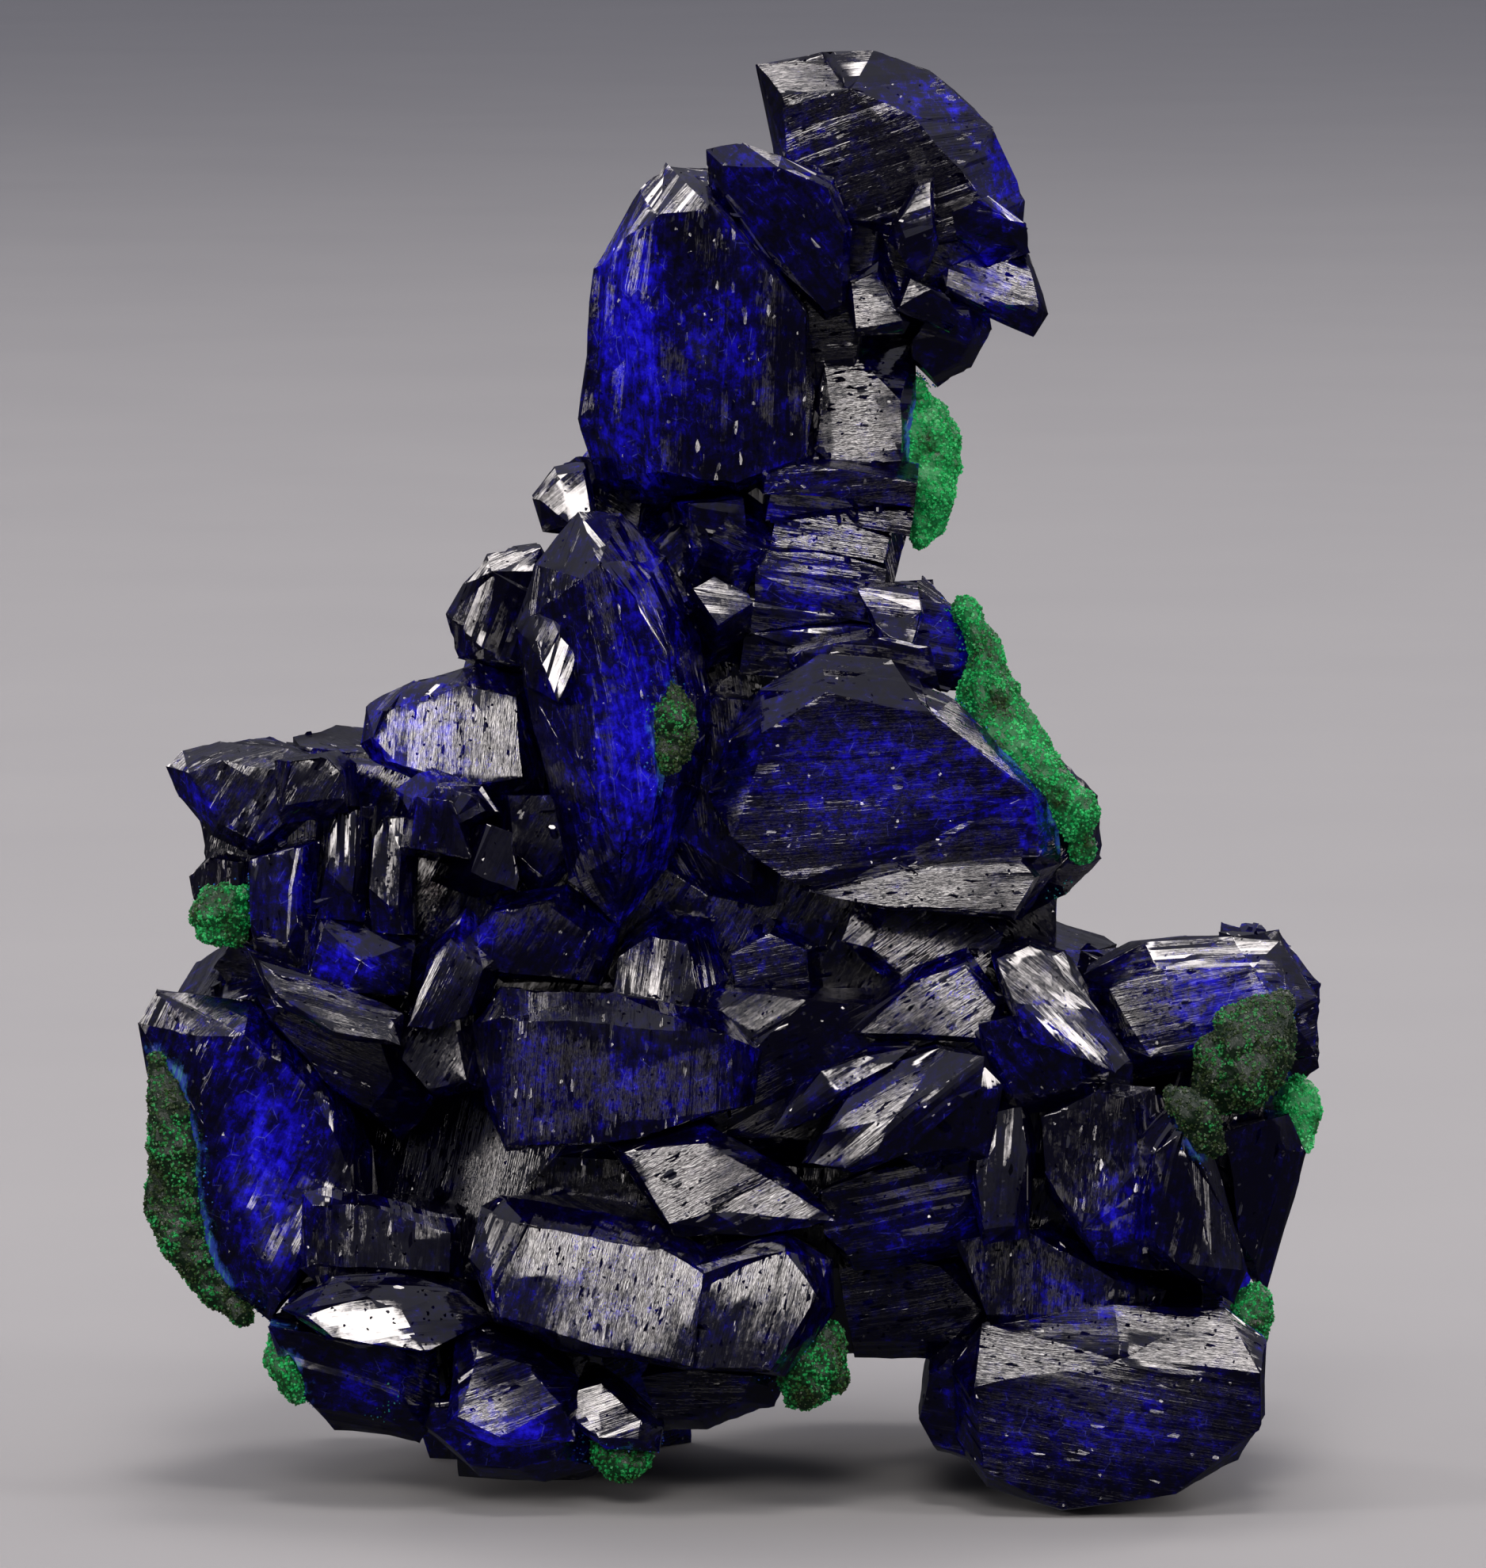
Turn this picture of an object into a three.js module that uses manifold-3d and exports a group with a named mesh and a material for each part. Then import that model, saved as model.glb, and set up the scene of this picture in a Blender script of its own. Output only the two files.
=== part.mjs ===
// Azurite specimen: a tower of intergrown azurite crystals with crusts of malachite let into it.
// Millimetres. +Z is up, +X is to the right seen from the front, and the front faces -Y.
// The origin is in the middle of the bounding box, on the surface that the specimen rests on.
import * as THREE from "three";
import { ConvexGeometry } from "three/addons/geometries/ConvexGeometry.js";
import { mergeVertices } from "three/addons/utils/BufferGeometryUtils.js";
import Module from "manifold-3d";

const wasm = await Module();
wasm.setup();

// Driving dimensions.
const CRUST_GAP = 0.3; // clearance between a malachite crust and the azurite around it
const REST_LEVEL = 0; // height of the flat patches that the specimen rests on
const WELD = 1e-4; // vertices closer than this are one vertex
const SMALLEST_EDGE = 0.3; // shorter edges left by the joining are collapsed
const BED_EDGE = 0.1; // the same for the beds that the crusts lie in
const PILE_OVERLAP = 1.35; // thickness of a piled tablet against its share of the pile
const CRYSTAL_JITTER = 0.05; // share by which a prism face moves in or out
const FACE_SHARE = 0.76; // size of a crystal's front face against its rim
const BACK_SHARE = 0.8; // size of its hidden back against its rim
const BACK_SPACING = 3; // every third corner of the rim is kept there
const FLOOR_SLAB = { side: 200, depth: 40 }; // the block that cuts the underside flat

// The two minerals.
const AZURITE = { color: 0x1a1f8f, roughness: 0.2, metalness: 0 };
const MALACHITE = { color: 0x2f8f5b, roughness: 0.8, metalness: 0 };

// Limits used where planes meet.
const PARALLEL = 1e-3; // planes that meet more flatly than this share no corner
const ON_PLANE = 1e-6; // a corner may lie this far outside a plane
const SAME_CORNER = 0.02; // corners closer than this are one corner

// A repeatable source of numbers between 0 and 1.
function seeded(seed) {
  let state = seed >>> 0;
  return () => {
    state = (Math.imul(state, 1664525) + 1013904223) >>> 0;
    return state / 4294967296;
  };
}

const between = (random, [low, high]) => low + (high - low) * random();
const swing = (random) => random() * 2 - 1;

// Turns a three.js geometry into a solid that can be joined and cut.
function solidOf(geometry) {
  const bare = geometry.clone();
  bare.deleteAttribute("normal");
  bare.deleteAttribute("uv");
  const welded = mergeVertices(bare, WELD);
  const mesh = new wasm.Mesh({
    numProp: 3,
    vertProperties: new Float32Array(welded.getAttribute("position").array),
    triVerts: new Uint32Array(welded.index.array),
  });
  return new wasm.Manifold(mesh);
}

const hullOf = (points) => solidOf(new ConvexGeometry(points));

// Joins a list of solids into one.
const joined = (solids) => solids.reduce((whole, solid) => whole.add(solid));

// The largest body of a solid, without the crumbs and closed pockets that joining can leave.
function largest(solid) {
  const bodies = solid.decompose();
  return bodies.reduce((best, body) => (body.volume() > best.volume() ? body : best));
}

// The middle of an outline given as [x, z] pairs.
function middleOf(outline) {
  const sum = outline.reduce((total, [x, z]) => [total[0] + x, total[1] + z], [0, 0]);
  return [sum[0] / outline.length, sum[1] / outline.length];
}

// Moves every point of an outline towards a middle by a factor.
const shrunk = (outline, [cx, cz], factor) =>
  outline.map(([x, z]) => [cx + (x - cx) * factor, cz + (z - cz) * factor]);

// A crystal seen face on: a flat front face, a rim set back from it by `drop`, and a smaller back.
// `lean` is how much further back the face lies per millimetre to the right and per millimetre up.
// Where no face outline is given, the face is the rim drawn in towards one of its corners.
function plate({ rim, face, corner = 0, front, lean = [0, 0], drop = 1.5, thick = 10 }) {
  const outline = face ?? shrunk(rim, rim[corner], FACE_SHARE);
  const [cx, cz] = middleOf(outline);
  const depthAt = (x, z) => front + lean[0] * (x - cx) + lean[1] * (z - cz);
  const layer = (points, behind) => points.map(([x, z]) => new THREE.Vector3(x, depthAt(x, z) + behind, z));
  const spaced = rim.filter((_, i) => i % BACK_SPACING === 0);
  const small = shrunk(spaced, middleOf(rim), BACK_SHARE);
  const back = small.map(([x, z]) => new THREE.Vector3(x, front + thick, z));
  return hullOf([...layer(outline, 0), ...layer(rim, drop), ...back]);
}

// Face sets of the crystal habits: [along, across, through, distance] for a crystal of half sizes 1.
const BOX_FACES = [-1, 1].flatMap((s) => [[s, 0, 0, 1], [0, s, 0, 1], [0, 0, s, 1]]);
const HABITS = {
  chip: [...BOX_FACES, [1, 1, 0.6, 1.6]],
  block: [...BOX_FACES, [1, 1, 0, 1.5], [0, -1, 1, 1.45], [-1, 0.3, 1, 1.55]],
  tablet: [...BOX_FACES, [1, 1, 0, 1.4], [-1, 1, 0, 1.5], [0.3, -1, 0.8, 1.5]],
  wedge: [...BOX_FACES.slice(0, 5), [0.4, 0.6, 1, 1.1], [0.2, -0.9, 1, 1.1], [1, 1, 0, 1.5]],
};

// The point where three planes meet, or null where they are close to parallel.
function meeting(a, b, c) {
  const bc = new THREE.Vector3().crossVectors(b.normal, c.normal);
  const scale = a.normal.dot(bc);
  if (Math.abs(scale) < PARALLEL) return null;
  const ca = new THREE.Vector3().crossVectors(c.normal, a.normal);
  const ab = new THREE.Vector3().crossVectors(a.normal, b.normal);
  const point = bc.multiplyScalar(a.reach);
  point.addScaledVector(ca, b.reach).addScaledVector(ab, c.reach);
  return point.divideScalar(scale);
}

// The corners of the body that lies inside every plane.
function cornersOf(planes) {
  const corners = [];
  for (let i = 0; i < planes.length; i += 1) {
    for (let j = i + 1; j < planes.length; j += 1) {
      for (let k = j + 1; k < planes.length; k += 1) {
        const point = meeting(planes[i], planes[j], planes[k]);
        const inside = point && planes.every((plane) => plane.normal.dot(point) <= plane.reach + ON_PLANE);
        const fresh = inside && corners.every((corner) => corner.distanceTo(point) > SAME_CORNER);
        if (fresh) corners.push(point);
      }
    }
  }
  return corners;
}

// A crystal with a long axis between two points, cut by the faces of its habit.
// `thick` is its size along `outward`, and `width` its size across both.
function prism({ habit = "block", from, to, width, thick, outward = [0, -1, 0], seed = 1 }) {
  const random = seeded(seed * 7919 + 11);
  const start = new THREE.Vector3(...from);
  const end = new THREE.Vector3(...to);
  const along = end.clone().sub(start);
  const half = [along.length() / 2, width / 2, (thick ?? width) / 2];
  along.normalize();
  const across = new THREE.Vector3(...outward).cross(along).normalize();
  const through = new THREE.Vector3().crossVectors(along, across);
  const place = new THREE.Matrix4().makeBasis(along, across, through).setPosition(start.lerp(end, 0.5));
  const planes = HABITS[habit].map(([u, v, w, distance]) => {
    const slope = new THREE.Vector3(u / half[0], v / half[1], w / half[2]);
    const size = slope.length();
    const reach = (distance * (1 + CRYSTAL_JITTER * swing(random))) / size;
    return { normal: slope.divideScalar(size), reach };
  });
  return hullOf(cornersOf(planes).map((corner) => corner.applyMatrix4(place)));
}

const PILE_WIDTHS = [0.85, 1.15]; // width of a piled tablet against the usual one
const PILE_SLANT = 0.1; // how much lower its right end lies, against half its width

// Thin tablets piled along a line, each one pushed a little to the side.
function pile({ from, to, count, width, thick, shift, seed }) {
  const random = seeded(seed);
  const start = new THREE.Vector3(...from);
  const end = new THREE.Vector3(...to);
  const pitch = start.distanceTo(end) / count;
  const layers = [];
  for (let i = 0; i < count; i += 1) {
    const middle = start.clone().lerp(end, (i + 0.5) / count);
    middle.x += shift * swing(random);
    middle.y += shift * swing(random);
    const reach = (width / 2) * between(random, PILE_WIDTHS);
    const left = [middle.x - reach, middle.y, middle.z + PILE_SLANT * reach];
    const right = [middle.x + reach, middle.y, middle.z - PILE_SLANT * reach];
    const sizes = { width: thick, thick: pitch * PILE_OVERLAP, outward: [0, 0, 1] };
    layers.push(prism({ habit: "tablet", from: left, to: right, ...sizes, seed: seed + i }));
  }
  return layers;
}

// The massive azurite inside, which every crystal grows out of.
const CORES = [
  { from: [-27, 1, 18], to: [30, 1, 19], width: 21, thick: 25, seed: 1 },
  { from: [-29, 1, 34], to: [21, 1, 33], width: 23, thick: 21, seed: 2 },
  { from: [-4, 1, 38], to: [1, 1, 60], width: 18, thick: 18, seed: 3 },
  { from: [1, 0, 56], to: [6, 0, 80], width: 14, thick: 13, seed: 4 },
  { from: [-11.5, 4, -3], to: [-14, 2, 14], width: 10, thick: 18, seed: 5 },
  { from: [23, 0, -3], to: [22.5, -1, 14], width: 12, thick: 20, seed: 6 },
  { from: [-29, -1, 26], to: [-25, -1, 12], width: 8, thick: 20, seed: 7 },
  { from: [-10, -5, 26], to: [26, -5, 25], width: 12, thick: 20, seed: 8 },
  { from: [8, -2, 75], to: [16, -1, 80], width: 8, thick: 9, seed: 9 },
  { from: [25, -3, 23], to: [33, -3, 22], width: 12, thick: 15, seed: 10 },
  { from: [-1, -6, 38], to: [1, -6, 50], width: 8, thick: 12, seed: 11 },
  { from: [-33, -1, 38], to: [-22, -1, 39], width: 7, thick: 14, seed: 12 },
];

// Crystals of the crown and the neck.
const TOP = [
  { // crown
    rim: [[1.8, 89.2], [5.8, 90], [9.2, 90.2], [13.2, 88.7], [16.8, 85.3], [18.7, 80.8], [18.6, 77.5],
      [13, 77], [6.7, 78.5], [3, 83]],
    face: [[3.2, 87.3], [7.5, 88.2], [11.5, 86.5], [15, 83], [17.3, 79], [13, 78], [7.2, 79.5],
      [3.4, 83]],
    front: -7, lean: [0.05, -0.1], drop: 3, thick: 15,
  },
  { // crest
    rim: [[-1.3, 84], [0.8, 84.5], [3, 83.8], [6.3, 82.3], [7.5, 79], [7.2, 74], [5.8, 73.4],
      [1.8, 77.5], [-1, 81.8]],
    face: [[-0.3, 83.2], [2.8, 83.2], [6, 81.6], [7, 78.6], [6.8, 74.4], [5.8, 74], [2.1, 77.8],
      [-0.2, 81.6]],
    front: -9.5, lean: [-0.25, -0.05], drop: 1, thick: 11,
  },
  { // tower
    rim: [[-5.2, 81.5], [-3.5, 83], [-1, 82.8], [1.8, 78], [5, 74], [5.1, 64.9], [0.8, 61.8],
      [-6.2, 61.8], [-8.2, 63], [-9, 67], [-8.2, 76.6], [-6.2, 79.2]],
    face: [[-4.2, 80.2], [-1, 81], [4.7, 74], [4.9, 65.2], [0.3, 63.6], [-4.5, 64], [-4.8, 74]],
    front: -10.5, lean: [-0.05, 0.02], drop: 5, thick: 19,
  },
  { // neck face
    rim: [[5, 73], [9, 72.3], [11.6, 71.6], [11.5, 69], [11.3, 64.7], [10.3, 61.5], [4.7, 61.5]],
    face: [[5.3, 71.5], [8.6, 70.8], [10.4, 68.4], [10.6, 64.5], [9.6, 62.5], [5.2, 62.5]],
    front: -7.5, lean: [0.05, 0.3], drop: 1.5, thick: 14,
  },
  { // gem under the crown
    rim: [[10.2, 79.6], [12, 82.4], [13.2, 82.6], [13.2, 78.2], [12, 75.8], [9.8, 78.2]],
    face: [[10.6, 79.6], [12.2, 82], [13, 82.2], [12.9, 79.4]],
    front: -10, lean: [-0.1, 0.45], drop: 1.5, thick: 9,
  },
  { // step under the crest
    rim: [[7.1, 76], [9.2, 77], [11.2, 73.2], [10.8, 72.6], [7.7, 72.6], [7, 74.5]],
    face: [[7.4, 75.7], [9.1, 76.4], [10.8, 73.4], [7.8, 72.9]],
    front: -10, lean: [0, 0.2], drop: 0.8, thick: 10,
  },
  { // wing
    rim: [[12.8, 78], [15.5, 78.5], [18.8, 78], [20, 73.8], [19, 72.3], [15.8, 73.4], [13.2, 74.8]],
    face: [[13.2, 77.2], [15.5, 77.6], [18.5, 77], [19.3, 74.2], [15.8, 74.2], [13.5, 75.2]],
    front: -6, lean: [0.15, 0.35], drop: 1, thick: 10,
  },
  { // wing tip
    rim: [[14.2, 80.2], [16.5, 81.3], [18.7, 79.5], [18.8, 77.6], [16.2, 76.6], [14.5, 78.2]],
    front: -7.6, lean: [0.3, -0.3], drop: 0.8, thick: 7,
  },
  { // beak
    rim: [[11.2, 72], [13.2, 74.8], [16, 74.4], [16.3, 72.5], [15, 70], [12.8, 68.9], [11.2, 70.6]],
    front: -6.5, lean: [0.2, -0.1], drop: 1.5, thick: 10,
  },
];

// Crystals of the middle height, from the left horn to the right table.
const MIDDLE = [
  { // ear
    rim: [[-12.2, 62], [-10.7, 63.9], [-8.9, 64.1], [-8.2, 61.3], [-9.5, 59.9], [-11.5, 60.1]],
    face: [[-11.7, 62], [-10.6, 63.4], [-9, 63.7], [-8.5, 61.4], [-9.6, 60.6]],
    front: -6, lean: [-0.1, 0.25], drop: 1, thick: 10,
  },
  { // left knob
    rim: [[-17.5, 55], [-16.6, 57], [-15, 58.7], [-11.5, 59.3], [-10.2, 56.8], [-11.2, 50.8],
      [-14.2, 51.2], [-16.6, 52.3]],
    face: [[-14.7, 57.9], [-12, 57.9], [-11.5, 51.6], [-14, 52.2], [-14.8, 53]],
    front: -9.5, lean: [0.1, -0.05], drop: 2.5, thick: 12,
  },
  { // blade
    rim: [[-9.2, 61.8], [-11.8, 58.6], [-13.1, 54.6], [-12.8, 51], [-11.3, 44], [-10.2, 39],
      [-6.8, 36], [-3.8, 40], [-1.5, 44.6], [-0.9, 49.2], [-1.8, 54.2], [-3.8, 59], [-6.8, 61.6]],
    face: [[-8.6, 58], [-7.6, 59], [-5.5, 57], [-3.6, 52], [-4, 46], [-6.4, 41], [-8, 44], [-8, 52]],
    front: -17, lean: [0.15, 0.05], drop: 4.5, thick: 18,
  },
  { // blade side
    rim: [[-13, 54.5], [-11.8, 57.5], [-9.5, 58.8], [-8, 55], [-8.2, 51.5], [-10.8, 49.8], [-12.6, 51]],
    face: [[-11.4, 52.5], [-10.2, 54.3], [-9.2, 53], [-10.6, 50.4]],
    front: -16.4, lean: [-0.1, 0.2], drop: 2, thick: 9,
  },
  { // striped plate
    rim: [[-23, 47], [-22.5, 49.2], [-19.2, 50.8], [-15.2, 52], [-11.8, 51], [-11.2, 44],
      [-14.2, 43.5], [-18.2, 44], [-22.2, 46]],
    face: [[-22, 47.6], [-21, 49], [-16.2, 50.8], [-13, 50], [-12.8, 45], [-16, 44.6], [-20.5, 46]],
    front: -11, lean: [0.02, 0.3], drop: 1.5, thick: 13,
  },
  { // left horn
    rim: [[-35, 45.3], [-34, 46.4], [-31.8, 47.2], [-28.2, 46.7], [-25.2, 45.7], [-26.2, 42],
      [-29.2, 39.4], [-32.5, 41], [-34.2, 43.3]],
    face: [[-33.6, 45.2], [-31.6, 46.2], [-28.4, 45.6], [-27.4, 42.6], [-29.6, 40.8], [-32, 42]],
    front: -9, lean: [-0.1, 0.15], drop: 2.2, thick: 12,
  },
  { // blue column between the blade and the neck
    rim: [[-3.8, 62], [0.8, 62.5], [1.5, 58], [0.5, 52], [-2, 52.5], [-3, 56]], corner: 1,
    front: -9.5, lean: [-0.3, 0], drop: 1.5, thick: 11,
  },
  { // left of the blade's foot
    rim: [[-14.5, 44], [-11, 44], [-10, 39.5], [-12, 37.5], [-14.5, 39.5]], corner: 1,
    front: -12.5, lean: [-0.2, 0.1], drop: 1.2, thick: 11,
  },
  { // stud
    rim: [[-19, 43.8], [-17.6, 45.3], [-15.2, 44.7], [-14.3, 43], [-16.2, 42], [-18.5, 42.2]],
    front: -14, lean: [0, 0.3], drop: 1.2, thick: 10,
  },
  { // left ball
    rim: [[-33.8, 38.4], [-32.2, 40.1], [-30, 39.8], [-29.4, 35.5], [-29.9, 34.2], [-31.8, 34.6],
      [-33.5, 36.6]],
    front: -8, lean: [-0.2, 0.1], drop: 2, thick: 12,
  },
  { // left pillar
    rim: [[-30, 40], [-25.6, 41], [-25.3, 35], [-26.3, 33.3], [-29.5, 34.3]],
    front: -12, lean: [0.05, 0.2], drop: 1, thick: 12,
  },
  { // left pyramid
    rim: [[-26.8, 32.3], [-25.2, 36.8], [-23.8, 38], [-19.2, 35.3], [-19.8, 31.8], [-23.8, 31.2]],
    face: [[-24.6, 36], [-22.5, 34], [-23.6, 32], [-25.8, 32.8]],
    front: -14.5, lean: [-0.2, 0.1], drop: 2, thick: 12,
  },
  { // white band
    rim: [[-30, 34.6], [-27.4, 33.8], [-20, 30.8], [-20.2, 29], [-24.2, 29.5], [-27.8, 31.3]],
    face: [[-29, 34], [-27, 33.3], [-20.6, 30.4], [-21, 29.4], [-24.4, 30], [-27.6, 31.9]],
    front: -16, lean: [0, 0.9], drop: 0.8, thick: 12,
  },
  { // below the band
    rim: [[-29, 32], [-24, 30.2], [-19.5, 29.5], [-18.5, 25], [-20.5, 22.5], [-24, 25], [-28, 30]],
    front: -14.5, lean: [0.1, -0.1], drop: 2, thick: 12,
  },
  { // zigzag
    rim: [[-19.8, 30.2], [-18.2, 35.2], [-16.2, 37.5], [-13.8, 34.7], [-15.2, 30.7], [-17.8, 29.8]],
    front: -16.5, lean: [0.3, 0.15], drop: 2, thick: 12,
  },
  { // hood
    rim: [[-16.2, 35.5], [-14.2, 38], [-10.2, 38.5], [-6.8, 36], [-7.8, 32], [-14.2, 32.5]],
    front: -14.5, lean: [0.1, -0.1], drop: 2.5, thick: 12,
  },
  { // hollow, left half
    rim: [[-7.2, 31], [-6.8, 35], [-4.2, 37], [-1.2, 36.5], [0.2, 32.5], [-1.2, 29.5], [-6.2, 30]],
    front: -13, lean: [-0.2, 0.2], drop: 2.5, thick: 11,
  },
  { // hollow, right half
    rim: [[0.2, 34], [3.2, 36], [6.2, 34.5], [6.8, 30.5], [3.8, 28.5], [0.8, 29.5]],
    front: -11, lean: [0.1, 0], drop: 2.5, thick: 10,
  },
  { // below the right table
    rim: [[8, 38], [14, 38.5], [17.5, 36], [16, 33], [10, 32.5], [7, 35]], corner: 3,
    front: -12.5, lean: [0.1, 0.2], drop: 1.5, thick: 12,
  },
  { // right table
    rim: [[-1, 44.5], [0, 48], [2, 51], [5.8, 53], [10.2, 53], [14.2, 50.5], [20.2, 44.5], [20.8, 40],
      [18.2, 36.3], [11.2, 37.3], [4.2, 39], [0.8, 41.5]],
    face: [[0.6, 42], [2.3, 48.6], [6, 51], [12.8, 49.8], [18.8, 44.5], [19.2, 40.6], [4.2, 39.2]],
    front: -16, lean: [0.05, -0.08], drop: 2.5, thick: 20,
  },
  { // band under the right table
    rim: [[4.4, 38.8], [11, 39.9], [18.2, 40.6], [19.2, 39.4], [17.6, 36.6], [10.4, 37.1], [7.2, 38]],
    face: [[5.2, 38.7], [11, 39.6], [18, 40.2], [18.8, 39.3], [17.3, 36.9], [10.5, 37.4]],
    front: -16.2, lean: [0.05, 0.25], drop: 0.8, thick: 9,
  },
  { // tooth
    rim: [[8.3, 56.8], [12, 57.4], [12.4, 55.6], [11.3, 52], [9.8, 53], [9, 54.6]],
    face: [[9.3, 55], [12.2, 55.9], [11.2, 52.4]],
    front: -13.5, lean: [0.1, 0.15], drop: 1.2, thick: 11,
  },
  { // right fin
    rim: [[12, 57], [15, 54.9], [16.9, 52.4], [15.8, 50.4], [12.8, 50.4], [11.3, 52]],
    front: -8.5, lean: [0.3, 0.2], drop: 1.5, thick: 12,
  },
  { // right rough
    rim: [[18.8, 44.5], [20.8, 46.5], [23, 43.5], [23.4, 39.5], [21.2, 37.5], [18.2, 36]],
    front: -10.5, lean: [0.35, 0.1], drop: 2, thick: 14,
  },
];

// Crystals of the broad lower half.
const LOWER = [
  { // centre block
    rim: [[-15.9, 30], [-14.2, 32.6], [-7.2, 32.1], [0, 31], [2.5, 28.4], [1.8, 25], [-2.2, 24],
      [-6.2, 23], [-13.8, 22.4], [-15, 25]],
    face: [[-14.2, 31], [-11.2, 30.2], [0, 29.8], [0.3, 25], [-5.2, 23.4], [-13.8, 22.9]],
    front: -18.5, lean: [0.03, 0.1], drop: 2, thick: 15,
  },
  { // block foot
    rim: [[-20.2, 28], [-19.2, 31.3], [-15.8, 30.8], [-14.8, 25.8], [-18.2, 25.3]],
    front: -15.5, lean: [-0.1, 0.25], drop: 1, thick: 12,
  },
  { // right roof
    rim: [[7.5, 29.9], [11.8, 33.6], [14.8, 34.9], [17.5, 32], [16.2, 29.5], [10.2, 29.4]],
    face: [[8.6, 30], [12, 33], [14.7, 34], [16.6, 31.8], [15.6, 30]],
    front: -16.5, lean: [-0.15, 0.35], drop: 1, thick: 14,
  },
  { // right gem
    rim: [[16.2, 34.7], [18.8, 35.7], [21, 35], [24.8, 28.4], [23.8, 27.7], [18.2, 30], [17.2, 32]],
    face: [[16.6, 34.5], [18.7, 35.3], [20.2, 34.8], [22.5, 31.6], [17.8, 32.2]],
    front: -18, lean: [0.1, 0.75], drop: 1.5, thick: 15,
  },
  { // right gem base
    rim: [[15.5, 31], [19, 31.5], [24, 28], [23, 25.5], [18, 25], [15.8, 27]],
    front: -18, lean: [0.1, -0.1], drop: 1.2, thick: 14,
  },
  { // spear
    rim: [[4.5, 22.3], [6, 24.3], [9.2, 28], [13.2, 29.5], [15.8, 29], [15.5, 27], [11.2, 23],
      [7.8, 21.8]],
    face: [[4.9, 22.4], [6, 24], [10.4, 25.4], [9.2, 23.3], [7.2, 22.2]],
    front: -22, lean: [-0.1, 0.3], drop: 1.5, thick: 15,
  },
  { // spear twin
    rim: [[2.8, 24], [4.8, 27], [9.2, 29.5], [11.8, 29.5], [8.8, 27], [5.8, 25]],
    face: [[6.2, 28], [9, 29], [10.5, 28.6], [7.5, 26.8]],
    front: -20, lean: [0, 0.4], drop: 1, thick: 14,
  },
  { // spear flank
    rim: [[10.2, 26], [15.8, 28.2], [16.8, 27], [16, 22], [12, 21.5], [9.8, 23]],
    front: -19.5, lean: [0.1, -0.1], drop: 1, thick: 12,
  },
  { // shingle base
    rim: [[-7.5, 23], [-1.2, 24], [3.8, 21.5], [6.8, 18.5], [1.8, 17.5], [-3.2, 17.7], [-5.2, 20]],
    face: [[-6.4, 22.6], [-1.2, 23], [2.6, 21], [-1, 19], [-3.6, 18.6]],
    front: -19.5, lean: [0, 0.35], drop: 1, thick: 12,
  },
  { // front block
    rim: [[-15.8, 16.5], [-15, 19.5], [-13.8, 20.1], [-4.2, 18.5], [-1.2, 17], [-1, 9.5], [-10.2, 11],
      [-14.2, 12.5]],
    face: [[-12.2, 18.5], [-4.2, 17.2], [-1.6, 15.6], [-1.8, 10.2], [-5.2, 11], [-13.8, 13], [-14.2, 15]],
    front: -22.5, lean: [0.02, 0.25], drop: 2.2, thick: 17,
  },
  { // front block, right half
    rim: [[-2.5, 16.5], [3.8, 17.8], [6.5, 16], [6.8, 13], [3.8, 9], [-2.5, 9.6]],
    face: [[-2.2, 16], [3.6, 16.9], [5.5, 14.2], [3, 9.8], [-2.2, 10.2]],
    front: -22, lean: [0.08, 0.22], drop: 2, thick: 17,
  },
  { // right blue
    rim: [[5.8, 20], [10.2, 22], [17.8, 22.5], [18.2, 19], [15.2, 15.5], [7.8, 14.5], [6, 16.5]],
    front: -17, lean: [0.05, -0.05], drop: 1.5, thick: 14,
  },
  { // right post
    rim: [[15.2, 25.5], [18.2, 26.5], [19.2, 23], [18.8, 17], [15.8, 16.5], [14.8, 21]],
    face: [[15.6, 25], [18, 25.6], [18.5, 22.5], [17.8, 17.8], [15.8, 17.6], [15.3, 21]],
    front: -18, lean: [0.05, 0.25], drop: 0.8, thick: 14,
  },
  { // right wall
    rim: [[19.2, 25], [23.8, 27], [26.8, 26.5], [27.8, 20], [26.8, 15], [22.8, 15.5], [19.8, 20]],
    front: -18, lean: [0, 0.1], drop: 1.5, thick: 15,
  },
  { // right prism
    rim: [[25.8, 23.5], [28.2, 26.5], [29.8, 23], [32.2, 15], [31.5, 13], [27.8, 15], [25.2, 17]],
    face: [[26.5, 22.5], [28.4, 24], [30.2, 15.5], [27.8, 15.8], [26.2, 17.5]],
    front: -20, lean: [0.1, 0.1], drop: 2, thick: 16,
  },
  { // shoulder plate
    rim: [[22.2, 32.5], [26.2, 34.7], [31.8, 34.9], [34.8, 34.7], [37, 31], [36.8, 27.5],
      [31.8, 27.5], [25.8, 26.5], [23.8, 29]],
    face: [[24, 32], [27, 33.4], [33, 33.2], [35, 30.5], [31.5, 28.8], [26.5, 28]],
    front: -12, lean: [0.1, 0.25], drop: 2, thick: 17,
  },
  { // shoulder end
    rim: [[31, 35], [34.8, 35], [37.2, 31.5], [37, 26], [34, 24], [31, 27]],
    front: -7, lean: [0.3, 0.1], drop: 2, thick: 15,
  },
  { // right blades
    rim: [[30.8, 23.3], [34.8, 24.3], [35.8, 21.8], [34.2, 16.3], [33.2, 12.3], [31.8, 14.3]],
    front: -13, lean: [0.45, 0], drop: 1, thick: 15,
  },
  { // arch top
    rim: [[6.8, 14.3], [11.2, 15.8], [15.2, 14.8], [18.8, 11.3], [16.2, 8.5], [8.2, 8.5]],
    front: -14, lean: [0, -0.1], drop: 1.5, thick: 20,
  },
  { // right hollow
    rim: [[14.2, 16.5], [20.2, 17.5], [27.2, 13.5], [25.8, 10.5], [16.8, 10.5]],
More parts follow.
